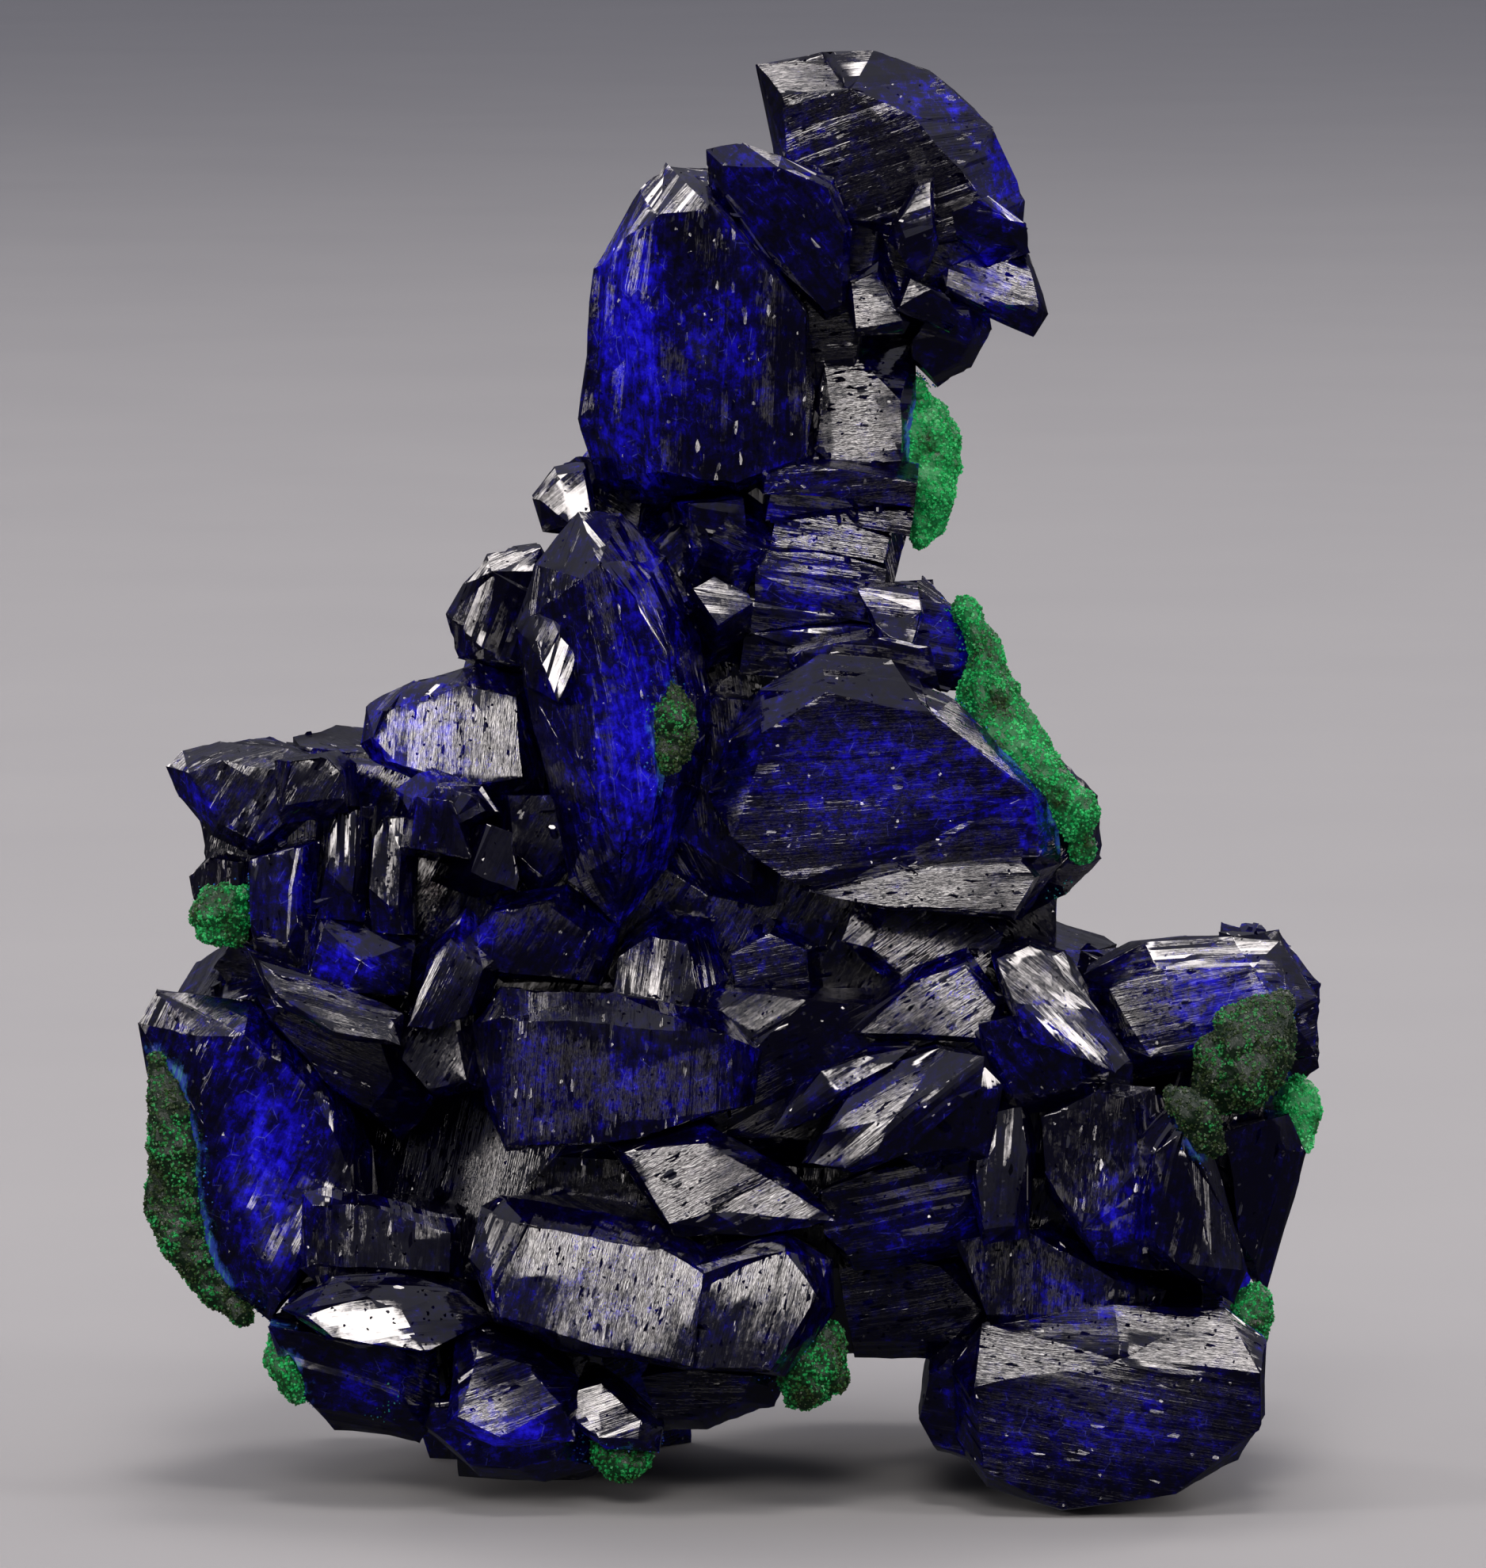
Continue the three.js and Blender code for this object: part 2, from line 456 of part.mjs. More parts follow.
    front: -16, lean: [0.05, 0.15], drop: 1.5, thick: 16,
  },
  { // right foot
    rim: [[13.8, 9], [15.8, 11.3], [23.8, 12.8], [30.8, 12.8], [33.5, 10.8], [33.5, 6], [31.8, 3],
      [26.2, 1], [20.8, 0], [16.2, 1.5], [14.2, 4.5]],
    face: [[15.2, 8], [24.2, 10], [33, 8.2], [33, 5.5], [27.8, 1.5], [20.8, 0.6], [16, 3]],
    front: -20.5, lean: [0.02, -0.05], drop: 3, thick: 30,
  },
  { // right heel
    rim: [[12, 5.5], [12.5, 9], [14.2, 10.5], [18.8, 9], [16.8, 2.5], [13.2, 3.5]],
    front: -17, lean: [-0.3, 0], drop: 1.5, thick: 20,
  },
  { // left plate
    rim: [[-36.6, 30], [-35.5, 32], [-29.8, 31.5], [-25.2, 27.2], [-22.2, 22.5], [-21.6, 19],
      [-25.8, 15], [-28.6, 11.2], [-32.2, 14], [-34.4, 19], [-36.3, 27.5]],
    face: [[-33, 29.5], [-29.8, 29.6], [-25.8, 26], [-23.2, 21.5], [-22.8, 19], [-27.6, 13.5],
      [-31, 18], [-32.4, 24]],
    front: -15, lean: [-0.1, 0.1], drop: 2.5, thick: 18,
  },
  { // striped block
    rim: [[-26.2, 15.2], [-26, 19.8], [-22.8, 20.1], [-16.2, 18.3], [-16.2, 14.4], [-25.2, 14.2]],
    face: [[-25.6, 15.4], [-25.3, 19], [-22.6, 19.3], [-16.9, 17.6], [-16.9, 15]],
    front: -17.5, lean: [0.1, 0.05], drop: 0.8, thick: 14,
  },
  { // left gem
    rim: [[-27.5, 13], [-24.2, 14.8], [-20.8, 15], [-16.2, 14], [-14.2, 12.5], [-18.5, 10], [-24.8, 11]],
    face: [[-25.8, 12.6], [-22, 13.8], [-19.8, 13], [-18.4, 10.3], [-24.2, 11.4]],
    front: -20.5, lean: [0, 0.25], drop: 1.5, thick: 15,
  },
  { // left root
    rim: [[-28.5, 11.7], [-24.8, 10.7], [-18.2, 9.7], [-17.8, 5.7], [-19.2, 3.7], [-24.8, 4.7],
      [-27.2, 7.7]],
    front: -17, lean: [-0.05, -0.1], drop: 2, thick: 18,
  },
  { // foot gem
    rim: [[-17.5, 5.5], [-16.8, 11], [-15.5, 12], [-11.8, 10.6], [-9, 9], [-9.2, 5], [-14.2, 4.5]],
    face: [[-16.6, 6.3], [-15.4, 10.6], [-12, 9.6], [-10, 7.6], [-14, 5.4]],
    front: -21.5, lean: [-0.1, 0.3], drop: 1.5, thick: 16,
  },
  { // left foot
    rim: [[-18.5, 6.3], [-14.2, 6.5], [-8.2, 5.3], [-7.8, 2.3], [-11.2, 1.4], [-15.2, 1.8], [-19, 4.8]],
    front: -18, lean: [0, -0.2], drop: 2, thick: 20,
  },
  { // foot facet
    rim: [[-9.5, 7.8], [-7.2, 8.6], [-3.8, 5.3], [-4, 3.8], [-7.2, 4], [-9, 5.3]],
    front: -19, lean: [0.1, 0.3], drop: 1, thick: 15,
  },
  { // front sill
    rim: [[-5.2, 8.6], [-1.2, 9.1], [4.2, 8.1], [3.2, 6.1], [-1.2, 4.6], [-4.2, 4.6]],
    front: -17, lean: [0, -0.1], drop: 1.5, thick: 16,
  },
];

// Small crystals with a clear long axis.
const SMALL = [
  { from: [10.8, -10, 75], to: [13.8, -9, 73.6], width: 2.2, seed: 21 },
  { from: [-28, -12, 44.5], to: [-23.5, -13, 45], width: 4, seed: 22 },
  { from: [-23.6, -13, 36.5], to: [-23.2, -12, 43.5], width: 3, thick: 3.5, seed: 24 },
  { from: [-20.6, -13, 35.8], to: [-20.4, -12, 42.6], width: 2.8, thick: 3.5, seed: 25 },
  { from: [4, -12, 51], to: [13, -12, 53], width: 4, seed: 26 },
];

// Guessed crystals of the two sides.
const SIDES = [
  { from: [32, -2, 25], to: [33, 8, 30], width: 9, thick: 7, outward: [1, 0.1, 0.2], seed: 41 },
  { from: [30.5, 8, 19], to: [30, 16, 25], width: 8, thick: 9, outward: [0.9, 0.4, 0], seed: 42 },
  { from: [31.5, -7, 17], to: [31.5, 5, 20], width: 7, thick: 6, outward: [1, -0.1, -0.1], seed: 43 },
  { from: [29, 4, 9], to: [30, 13, 14], width: 9, thick: 8, outward: [1, 0.2, -0.2], seed: 44 },
  { from: [-33, -3, 26], to: [-31, 8, 29], width: 8, thick: 7, outward: [-1, 0.1, 0.2], seed: 45 },
  { from: [-30, 4, 17], to: [-28, 13, 22], width: 8, thick: 8, outward: [-0.9, 0.4, 0], seed: 46 },
  { from: [-30, -8, 16], to: [-29, 3, 19], width: 8, thick: 6, outward: [-1, -0.1, -0.2], seed: 47 },
  { from: [-22, -3, 10], to: [-21, 9, 12], width: 8, thick: 7, outward: [-1, 0.2, -0.3], seed: 48 },
];

// The banded column under the neck.
const NECK_PILE = {
  from: [4.4, -4, 51.5], to: [6.8, -3.5, 64.5], count: 7, width: 8, thick: 12, shift: 0.7, seed: 31,
};

// Druses: small crystals that fill the hollows between the large ones.
const DRUSES = [
  { middle: [-16, -10, 40.5], spread: [4.5, 1, 2.5], count: 3, size: 3.6, seed: 336 },
  { middle: [-0.5, -8, 56.5], spread: [2.5, 0.6, 3.5], count: 2, size: 3.2, seed: 494 },
];
const DRUSE_LENGTHS = [1.3, 2.1]; // length of a small crystal against the size of its druse
const DRUSE_WIDTHS = [0.8, 1.3]; // its width against that size
const DRUSE_LIFT = 0.8; // how far it stands out to the front, as a share of its length
const DRUSE_SPLAY = 0.5; // how far it leans to the side, as a share of its length

function druse({ middle, spread, count, size, seed }) {
  const random = seeded(seed);
  const crystals = [];
  for (let i = 0; i < count; i += 1) {
    const root = middle.map((value, axis) => value + spread[axis] * swing(random));
    const length = size * between(random, DRUSE_LENGTHS);
    const splay = () => DRUSE_SPLAY * length * swing(random);
    const tip = [root[0] + splay(), root[1] - DRUSE_LIFT * length, root[2] + splay()];
    const outward = [swing(random), 0, 1];
    const width = size * between(random, DRUSE_WIDTHS);
    crystals.push(prism({ habit: "chip", from: root, to: tip, width, outward, seed: seed + i }));
  }
  return crystals;
}

// The unseen back, in rows: how far the specimen reaches to the left, the right and the back at a height,
// and how many crystals of which usual length cover it there.
const BACK_ROWS = [
  { height: 5, left: -17, right: 29, back: 15, count: 5, size: 10 },
  { height: 16, left: -24, right: 29, back: 19, count: 7, size: 13 },
  { height: 25, left: -31, right: 32, back: 19, count: 7, size: 13 },
  { height: 37, left: -27, right: 16, back: 16, count: 6, size: 13 },
  { height: 48, left: -14, right: 11, back: 13.5, count: 5, size: 12 },
  { height: 59, left: -7, right: 8, back: 11, count: 4, size: 11 },
  { height: 71, left: -4, right: 7, back: 9.5, count: 3, size: 9 },
  { height: 82, left: 6, right: 12, back: 8, count: 2, size: 7 },
];
const BACK_SINK = 0.3; // share of its depth by which a back crystal's middle lies inside that reach
const BACK_TURN = 200; // degrees round the back that a row covers
const BACK_SQUARENESS = 0.7; // 1 makes a row an ellipse, less makes it squarer
const BACK_TILT = 0.35; // how far a back crystal may tip up or down
const BACK_WANDER = 2; // how far it may lie above or below its row
const BACK_STRAY = 0.3; // how far it may stray along its row, as a share of its place there
const BACK_HABITS = ["block", "tablet", "wedge"];
const BACK_DEPTHS = [0.7, 1]; // its depth, half length and width against the usual length of its row
const BACK_HALF_LENGTHS = [0.45, 0.7];
const BACK_WIDTHS = [0.65, 1.05];
const ARCH = { left: 3, right: 13, top: 7 }; // the gap under the specimen, kept open from front to back

// One guessed crystal of the back, at an angle round a row.
function backCrystal({ height, left, right, back, size }, turn, random) {
  const squared = (value) => Math.sign(value) * Math.abs(value) ** BACK_SQUARENESS;
  const [east, north] = [Math.cos(turn), Math.sin(turn)];
  const outward = new THREE.Vector3(east, north, BACK_TILT * swing(random)).normalize();
  const thick = size * between(random, BACK_DEPTHS);
  const x = (left + right) / 2 + ((right - left) / 2) * squared(east);
  const middle = new THREE.Vector3(x, back * squared(north), height + BACK_WANDER * swing(random));
  middle.addScaledVector(outward, -BACK_SINK * thick);
  const lie = swing(random) * Math.PI;
  const along = new THREE.Vector3(-north * Math.cos(lie), east * Math.cos(lie), Math.sin(lie));
  const reach = size * between(random, BACK_HALF_LENGTHS);
  return {
    habit: BACK_HABITS[Math.floor(random() * BACK_HABITS.length)],
    from: middle.clone().addScaledVector(along, -reach).toArray(),
    to: middle.clone().addScaledVector(along, reach).toArray(),
    width: size * between(random, BACK_WIDTHS),
    thick,
    outward: outward.toArray(),
  };
}

// True where a crystal near the floor would close the arch.
function closesArch({ from, to }, { height, size }) {
  const x = (from[0] + to[0]) / 2;
  return height < ARCH.top && x > ARCH.left - size / 2 && x < ARCH.right + size / 2;
}

// Guessed crystals that cover the back and the sides, row by row.
function backCrystals() {
  const random = seeded(5);
  const crystals = [];
  for (const row of BACK_ROWS) {
    for (let i = 0; i < row.count; i += 1) {
      const share = (i + 0.5 + BACK_STRAY * swing(random)) / row.count - 0.5;
      const crystal = backCrystal(row, THREE.MathUtils.degToRad(90 + BACK_TURN * share), random);
      if (!closesArch(crystal, row)) crystals.push({ ...crystal, seed: crystals.length + 80 });
    }
  }
  return crystals;
}

// Malachite crusts: a band along a path of [x, y, z, half width], flattened in depth.
const CRUSTS = {
  malachite_neck: {
    path: [[11.8, -4.4, 69.4, 1.2], [12.3, -5, 65.8, 2.1], [12.4, -5.2, 62.2, 2], [12, -5, 59.2, 1]],
  },
  malachite_slope: {
    path: [[14.6, -8, 55.8, 0.5], [16, -9, 53.2, 0.8], [16.3, -10.8, 50.2, 1.7], [17.6, -11.8, 47.8, 1.7],
      [19.8, -12.8, 45.2, 1.5], [21.8, -12.6, 42.8, 1.6], [22.4, -11.6, 40, 1.1]],
  },
  malachite_left_knob: { path: [[-32.6, -9, 38, 1], [-31.6, -9.8, 36.6, 2], [-30.4, -10.2, 34.8, 1.4]] },
  malachite_left_flank: {
    path: [[-35.6, -12, 28, 0.9], [-34.5, -12.8, 24.8, 1.9], [-34.2, -12.6, 20.6, 1.8], [-33.8, -12.4, 17, 1.6],
      [-32.2, -12.8, 13.8, 1.5], [-29.8, -13.4, 11.4, 0.9]],
  },
  malachite_left_thread: { path: [[-28.2, -16, 11, 0.6], [-27.4, -16.4, 9, 0.9], [-26.6, -16.8, 7, 0.7]] },
  malachite_shoulder: {
    path: [[34.8, -11.7, 31.6, 1.2], [33, -13.4, 29, 2.8], [31.2, -14.4, 26.8, 2.6], [29, -15, 25.6, 1.2]],
  },
  malachite_shoulder_strip: { path: [[27.4, -18.6, 26.4, 0.6], [28.8, -19.4, 25, 1], [30.4, -18.4, 22.6, 0.7]] },
  malachite_right_strip: { path: [[35.8, -6.2, 25.6, 0.9], [35.8, -7.2, 23.6, 1.3], [35.4, -8, 20.8, 0.9]] },
  malachite_right_edge: { path: [[32.9, -15, 13.8, 0.8], [32.7, -15.6, 12, 1.3], [32.4, -16, 9.8, 0.9]] },
  malachite_base_middle: { path: [[6.6, -17.4, 11.6, 1.2], [5.4, -18, 9.2, 2.1], [4, -17, 6.6, 1.6]] },
  malachite_base_left: { path: [[-8.2, -17, 4, 0.9], [-6.4, -17, 3.4, 1.4], [-4.8, -16.4, 3.6, 1]] },
  malachite_blade_patch: {
    path: [[-3.8, -16, 51.6, 0.7], [-3.3, -16.2, 49, 1.3], [-3.7, -16.6, 46.2, 0.8]],
  },
};
const CRUST_SIDES = 6;
const CRUST_RINGS = 6;
const CRUST_FLATNESS = 0.7; // depth of a crust against its width
const CRUST_RELIEF = 0.1; // height of its lumps as a share of its half width
const CRUST_LUMPS = [[9, 2], [16, -3]]; // two sets of lumps: how closely they lie along and around it

// The half width of a crust at a share of its length.
function widthAlong(path, share) {
  const place = share * (path.length - 1);
  const row = Math.min(Math.floor(place), path.length - 2);
  return THREE.MathUtils.lerp(path[row][3], path[row + 1][3], place - row);
}

// A lumpy crust: a ball drawn out along the path, its width following the path.
// `grow` makes it larger all round.
function crust({ path }, grow) {
  const spine = new THREE.CatmullRomCurve3(path.map(([x, y, z]) => new THREE.Vector3(x, y, z)));
  const ball = new THREE.SphereGeometry(1, CRUST_SIDES, CRUST_RINGS);
  const points = ball.getAttribute("position");
  const depthAxis = new THREE.Vector3(0, 1, 0);
  for (let i = 0; i < points.count; i += 1) {
    const share = Math.acos(THREE.MathUtils.clamp(points.getY(i), -1, 1)) / Math.PI;
    const around = Math.atan2(points.getZ(i), points.getX(i));
    const along = spine.getTangent(share);
    const across = new THREE.Vector3().crossVectors(along, depthAxis).normalize();
    const outward = new THREE.Vector3().crossVectors(along, across);
    const point = spine.getPoint(share).addScaledVector(along, -grow * Math.cos(share * Math.PI));
    const waves = CRUST_LUMPS.map(([u, v]) => Math.sin(u * share + v * around + path[0][2]));
    const ring = Math.sqrt(Math.max(Math.sin(share * Math.PI), 0));
    const reach = widthAlong(path, share) * (1 + CRUST_RELIEF * (waves[0] + waves[1]));
    point.addScaledVector(across, Math.cos(around) * ring * (reach + grow));
    point.addScaledVector(outward, Math.sin(around) * ring * (reach * CRUST_FLATNESS + grow));
    points.setXYZ(i, point.x, point.y, point.z);
  }
  return solidOf(ball);
}

// Everything under the resting level, to be cut away.
function underside() {
  const slab = new THREE.BoxGeometry(FLOOR_SLAB.side, FLOOR_SLAB.side, FLOOR_SLAB.depth);
  slab.translate(0, 0, REST_LEVEL - FLOOR_SLAB.depth / 2);
  return solidOf(slab);
}

// The move that stands the common box of some solids on the origin.
function centring(solids) {
  const box = new THREE.Box3();
  for (const solid of solids) {
    const { min, max } = solid.boundingBox();
    box.expandByPoint(new THREE.Vector3(...min));
    box.expandByPoint(new THREE.Vector3(...max));
  }
  const middle = box.getCenter(new THREE.Vector3());
  return new THREE.Vector3(-middle.x, -middle.y, -box.min.z);
}

// A solid as a mesh with a material of its own, moved into place.
function meshOf(solid, name, look, shift) {
  const { vertProperties, triVerts } = solid.getMesh();
  const geometry = new THREE.BufferGeometry();
  geometry.setAttribute("position", new THREE.BufferAttribute(new Float32Array(vertProperties), 3));
  geometry.setIndex(new THREE.BufferAttribute(new Uint32Array(triVerts), 1));
  geometry.translate(shift.x, shift.y, shift.z);
  geometry.computeVertexNormals();
  const mesh = new THREE.Mesh(geometry, new THREE.MeshStandardMaterial(look));
  mesh.name = name;
  return mesh;
}

function buildSpecimen() {
  const crystals = [
    ...CORES.map(prism),
    ...[...TOP, ...MIDDLE, ...LOWER].map(plate),
    ...[...SMALL, ...SIDES].map(prism),
    ...pile(NECK_PILE),
    ...DRUSES.flatMap(druse),
    ...backCrystals().map(prism),
  ];
  const floor = underside();
  const beds = joined(Object.values(CRUSTS).map((spec) => crust(spec, CRUST_GAP)));
  const grown = joined(crystals).subtract(floor).simplify(SMALLEST_EDGE);
  const azurite = largest(grown.subtract(beds).simplify(BED_EDGE));

  const crusts = Object.entries(CRUSTS).map(([name, spec]) => ({ name, solid: crust(spec, 0) }));
  const shift = centring([azurite, ...crusts.map(({ solid }) => solid)]);
  const group = new THREE.Group();
  group.name = "azurite_specimen";
  group.add(meshOf(azurite, "azurite_cluster", AZURITE, shift));
  for (const { name, solid } of crusts) {
    group.add(meshOf(solid, name, MALACHITE, shift));
  }
  return group;
}

export default buildSpecimen();
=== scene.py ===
"""Looks of an azurite specimen: striated, glassy blue crystals with granular crusts of green malachite.

Metres. +Z is up, +X is to the right seen from the front, and the front faces -Y.
"""

import math

import bmesh
import bpy
import numpy as np
from mathutils import Matrix, Vector, noise
from mathutils.bvhtree import BVHTree


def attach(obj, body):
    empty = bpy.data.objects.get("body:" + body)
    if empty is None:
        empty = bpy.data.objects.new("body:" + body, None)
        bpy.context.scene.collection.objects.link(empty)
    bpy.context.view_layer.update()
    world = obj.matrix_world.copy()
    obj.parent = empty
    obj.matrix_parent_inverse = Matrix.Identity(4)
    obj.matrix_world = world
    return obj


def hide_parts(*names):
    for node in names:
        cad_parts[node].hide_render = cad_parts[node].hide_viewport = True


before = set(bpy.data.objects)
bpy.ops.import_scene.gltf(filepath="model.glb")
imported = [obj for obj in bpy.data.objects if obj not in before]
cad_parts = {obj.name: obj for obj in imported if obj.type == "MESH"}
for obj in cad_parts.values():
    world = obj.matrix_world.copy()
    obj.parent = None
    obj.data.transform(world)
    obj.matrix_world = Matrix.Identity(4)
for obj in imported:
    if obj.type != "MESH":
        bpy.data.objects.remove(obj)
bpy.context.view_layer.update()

MM = 0.001

# Camera, as in the photograph.
CAMERA_TARGET = (0.7 * MM, 0, 43.6 * MM)
CAMERA_DISTANCE = 0.8
CAMERA_ELEVATION = 6
VIEW_HEIGHT = 98.95 * MM  # height of the picture at the target
SENSOR = 36

# Striations: real steps that run along a crystal's grain.
STRIA_PITCH = (0.22 * MM, 0.80 * MM)  # narrowest and widest step
STRIA_LENGTH = (2.0 * MM, 5.0 * MM)  # shortest and longest stretch of one step
BACK_PITCH = 3.2  # how much wider the steps are on the side that the photograph doesn't show
STRIA_TILT = 0.04  # slope of a step against its facet
STRIA_WANDER = 0.6  # share of that slope that changes along a step
LEDGE_SHARE = 0.05  # share of the steps that end in a ledge
LEDGE_HEIGHT = (0.03 * MM, 0.11 * MM)
LEDGE_FADE = 0.85  # how much of a ledge's height is left one step further on
GEM_AREA = 9 * MM**2  # smaller facets are clean mirrors
GEM_TILT = 0.15  # slope of their steps against the others'
SMALLEST_CUT = 1.4 * MM**2  # facets with less area stay whole
GEM_SCRATCHES = (0.0, 0.12)  # how scratched those mirrors and the other facets are, from 0 to 1
SCRATCHES = (0.05, 0.55)
PLAIN_SCRATCHES = 0.1  # the same for facets that stay whole
BEHIND = (0.3, 4 * MM)  # a facet beyond this backward slope, or this far back, isn't in the photograph
WELD = 0.001 * MM  # points closer than this are one
COPLANAR = 0.9999  # cosine between triangles of one facet
ON_LINE = 1e-9
AT_CORNER = 1e-4  # share of an edge within which a line runs through its end
FACET_SEED = 7

# Facets that mirror a softbox: x and z in millimetres, the softbox, and how scratched they are.
MIRRORS = (
    (3.2, 88.7, "top", 0.3), (11.1, 80.6, "front", 0.03), (8.9, 75.2, "front", 0.25),
    (11.6, 75.4, "front", 0.05), (14, 74.2, "top", 0.05), (16.4, 75.2, "front", 0.35),
    (-3.6, 81.5, "top", 0.1), (7.6, 68, "front", 0.35), (-10.4, 62.7, "front", 0.03),
    (10.6, 54.7, "front", 0.02), (-14.2, 58.8, "top", 0.2), (-15.9, 54.8, "left", 0.02),
    (-10.5, 52.9, "front", 0.05), (-18.4, 48.7, "left", 0.3), (-16.5, 44.3, "front", 0.05),
    (-25.2, 45.1, "front", 0.4), (-24.5, 32, "top", 0.25), (-34.7, 31.7, "top", 0.1),
    (0.2, 46.3, "left", 0.3), (12, 38.6, "front", 0.3), (19.1, 34, "high", 0.1),
    (7.7, 24.7, "high", 0.2), (2.1, 19.2, "front", 0.3), (-22.1, 17, "front", 0.35),
    (-22.1, 13.1, "front", 0.02), (-22.4, 14.9, "top", 0.1), (-15.4, 10.7, "top", 0.05),
    (-6.5, 7.4, "back_right", 0.4), (-8, 15, "front", 0.35), (2.1, 13.8, "front", 0.35),
    (28.6, 11, "high", 0.2), (20.1, 9.9, "high", 0.3), (30.3, 16.8, "right", 0.1),
    (-23.6, 40.7, "front", 0.05), (-21.4, 38.3, "front", 0.1), (10.7, 60.1, "front", 0.3),
    (-26, 45.4, "front", 0.3), (-15.7, 43.8, "back_right", 0.05), (26.7, 23.9, "back_left", 0.1),
)
MIRROR_TURN = 0.3  # largest slope by which such a facet is turned towards its softbox
MIRROR_LIFT = 0.8 * MM  # and how far its corners may move by that

# Rough areas full of scratches: x, z and the radius in millimetres where they have faded out.
ROUGH = ((-31, 44, 5), (21, 41, 3), (35, 29, 3.5), (23, 22, 3), (-33, 29, 3))

# Slow undulation of every surface: wavelength and height.
SWELLS = ((12 * MM, 0.55 * MM), (5 * MM, 0.28 * MM))
SWELL_SEED = 3

# Upright flutes: x, z, half width and half height in millimetres of the area that they cover.
FLUTES = ((-4.5, 71, 7, 10), (-28, 22, 5, 9), (-6, 50, 4, 10))
FLUTE_SIZE = (1.7 * MM, 9 * MM)  # distance between flutes, and their length
FLUTE_DEPTH = 0.85 * MM
FLUTE_FADE = 1.4  # squared distance from its middle, in half sizes, where they have faded out

# Worn edges: how closely the chips lie, and how deep they are.
WEAR_SIZE = 0.9 * MM
WEAR_DEPTH = 0.22 * MM
STILL_HEIGHT = 3 * MM  # the undulation fades out towards the resting level

# Direction of the grain seen from the front: x and z in millimetres, then degrees from +X towards +Z.
GRAINS = (
    (10, 84, 20), (0, 80, -50), (-5, 73, 88), (1, 70, 88), (8, 67, 5), (16, 76, -20), (-10, 62, 40),
    (-13, 55, 70), (-6, 50, 100), (-18, 48, 85), (-31, 44, 60), (-27, 38, 88), (6, 57, -8),
    (10, 46, 3), (10, 40, 4), (-24, 32, -25), (-16, 34, 60), (-8, 28, 86), (12, 32, 35), (20, 32, -50),
    (9, 25, 40), (-2, 21, 28), (-8, 15, 84), (2, 14, 76), (-21, 17, 88), (-21, 12.5, 8), (-30, 22, 65),
    (11, 19, 10), (17, 21, 86), (23, 21, 84), (29, 19, 75), (30, 31, 12), (24, 6, -10), (-14, 8, 20),
    (-22, 7, -20),
)
GRAIN_REACH = 8  # millimetres within which a crystal follows the nearest of these

# Where the azurite shines through in vivid blue: x, z, half width and half height in millimetres, strength.
BLUES = (
    (13, 87, 4, 2, 0.8), (17, 82, 2, 4, 0.9), (5, 84, 3, 3, 0.5), (-6, 36, 4, 3, 0.5),
    (-27, 38, 3, 4, 0.5), (-9, 27, 6, 3, 0.7), (20, 29, 4, 3, 0.5), (13, 33, 4, 2, 0.4),
    (4, 63, 4, 3, 0.5), (-33, 44, 3, 2, 0.4), (-6, 73, 4, 9, 1.05), (-1, 72, 4, 6, 0.8),
    (1, 80, 4, 5, 0.6), (16, 76, 3, 3, 0.8), (-6, 49, 4, 11, 1.1), (5, 58, 5, 5, 0.7),
    (8, 46, 8, 5, 0.8), (18, 44, 3, 4, 0.7), (-29, 23, 4, 8, 1.0), (11, 18, 5, 3, 0.6),
    (23, 6, 9, 4, 0.55), (-13, 5, 6, 3, 0.8), (30, 31, 5, 3, 0.9), (-24, 34, 3, 2, 0.8),
    (-19, 47, 5, 4, 1.0), (-12, 27, 3, 4, 0.7), (-3, 26, 4, 2, 0.5), (14, 54, 3, 3, 0.8),
    (24, 20, 3, 4, 0.4), (1, 35, 4, 3, 0.6), (-7, 15, 6, 3, 0.6), (21, 13, 4, 2, 0.6),
    (-15, 36, 3, 2, 0.6), (9, 27, 3, 2, 0.7), (-22, 8, 4, 2, 0.6),
)
BLUE_BACK = 0.45  # the same on the side that the photograph doesn't show
BACK_BLEND = (-4, 8)  # y in millimetres where that side starts to take over, and the stretch it takes
BLUE_CLOUDS = 7 * MM  # size of its lighter and darker areas
BLUE_RIDGE = 0.30  # how much more vivid the thin ridges of a crystal are
RIDGE_SEED = 17

# Small crystals in the folds between the large ones.
SHARD_SPACING = 4.0 * MM
SHARD_FOLD = 1.2 * MM  # shorter folds have none
SHARD_ANGLE = 0.6  # nor have flatter ones: cosine between the two sides
SHARD_LENGTH = (0.6 * MM, 1.9 * MM)
SHARD_SLIMNESS = (0.16, 0.32)  # half width against length
SHARD_SINK = 0.55  # share of its length that lies inside the fold
SHARD_SWAY = 0.5  # how far it leans away from the middle of the fold
SHARD_FLATNESS = 0.6  # thickness against width
SHARD_TAPER = 0.8  # width of its end against its foot
SHARD_SLANT = 0.5  # slope of its end
SHARD_SEED = 61

# Malachite.
CRUST_SWELL = 0.26 * MM  # how far a crust stands out over its bed
CRUST_SUBDIVISIONS = 3
CRUST_LUMPS = ((2.4 * MM, 0.34 * MM), (0.7 * MM, 0.22 * MM))
GRAIN_DENSITY = 20.0  # grains on a square millimetre of crust
GRAIN_SIZE = (0.06 * MM, 0.19 * MM)
GRAIN_REACHES = (0.6, 1.2)  # how far the corners of a grain reach, against its size
RIM_REACH = 1.3 * MM  # how far loose grains spread over the azurite round a crust
RIM_DENSITY = 9.0
RIM_SIZE = 0.55  # size of the loose grains against the others
PATCH_RIM = 0.45  # how blue the grains of a loose patch are
CRUST_SEED = 23
DUST_REACH = 2.2 * MM  # how far the azurite round a crust is dusted with light blue

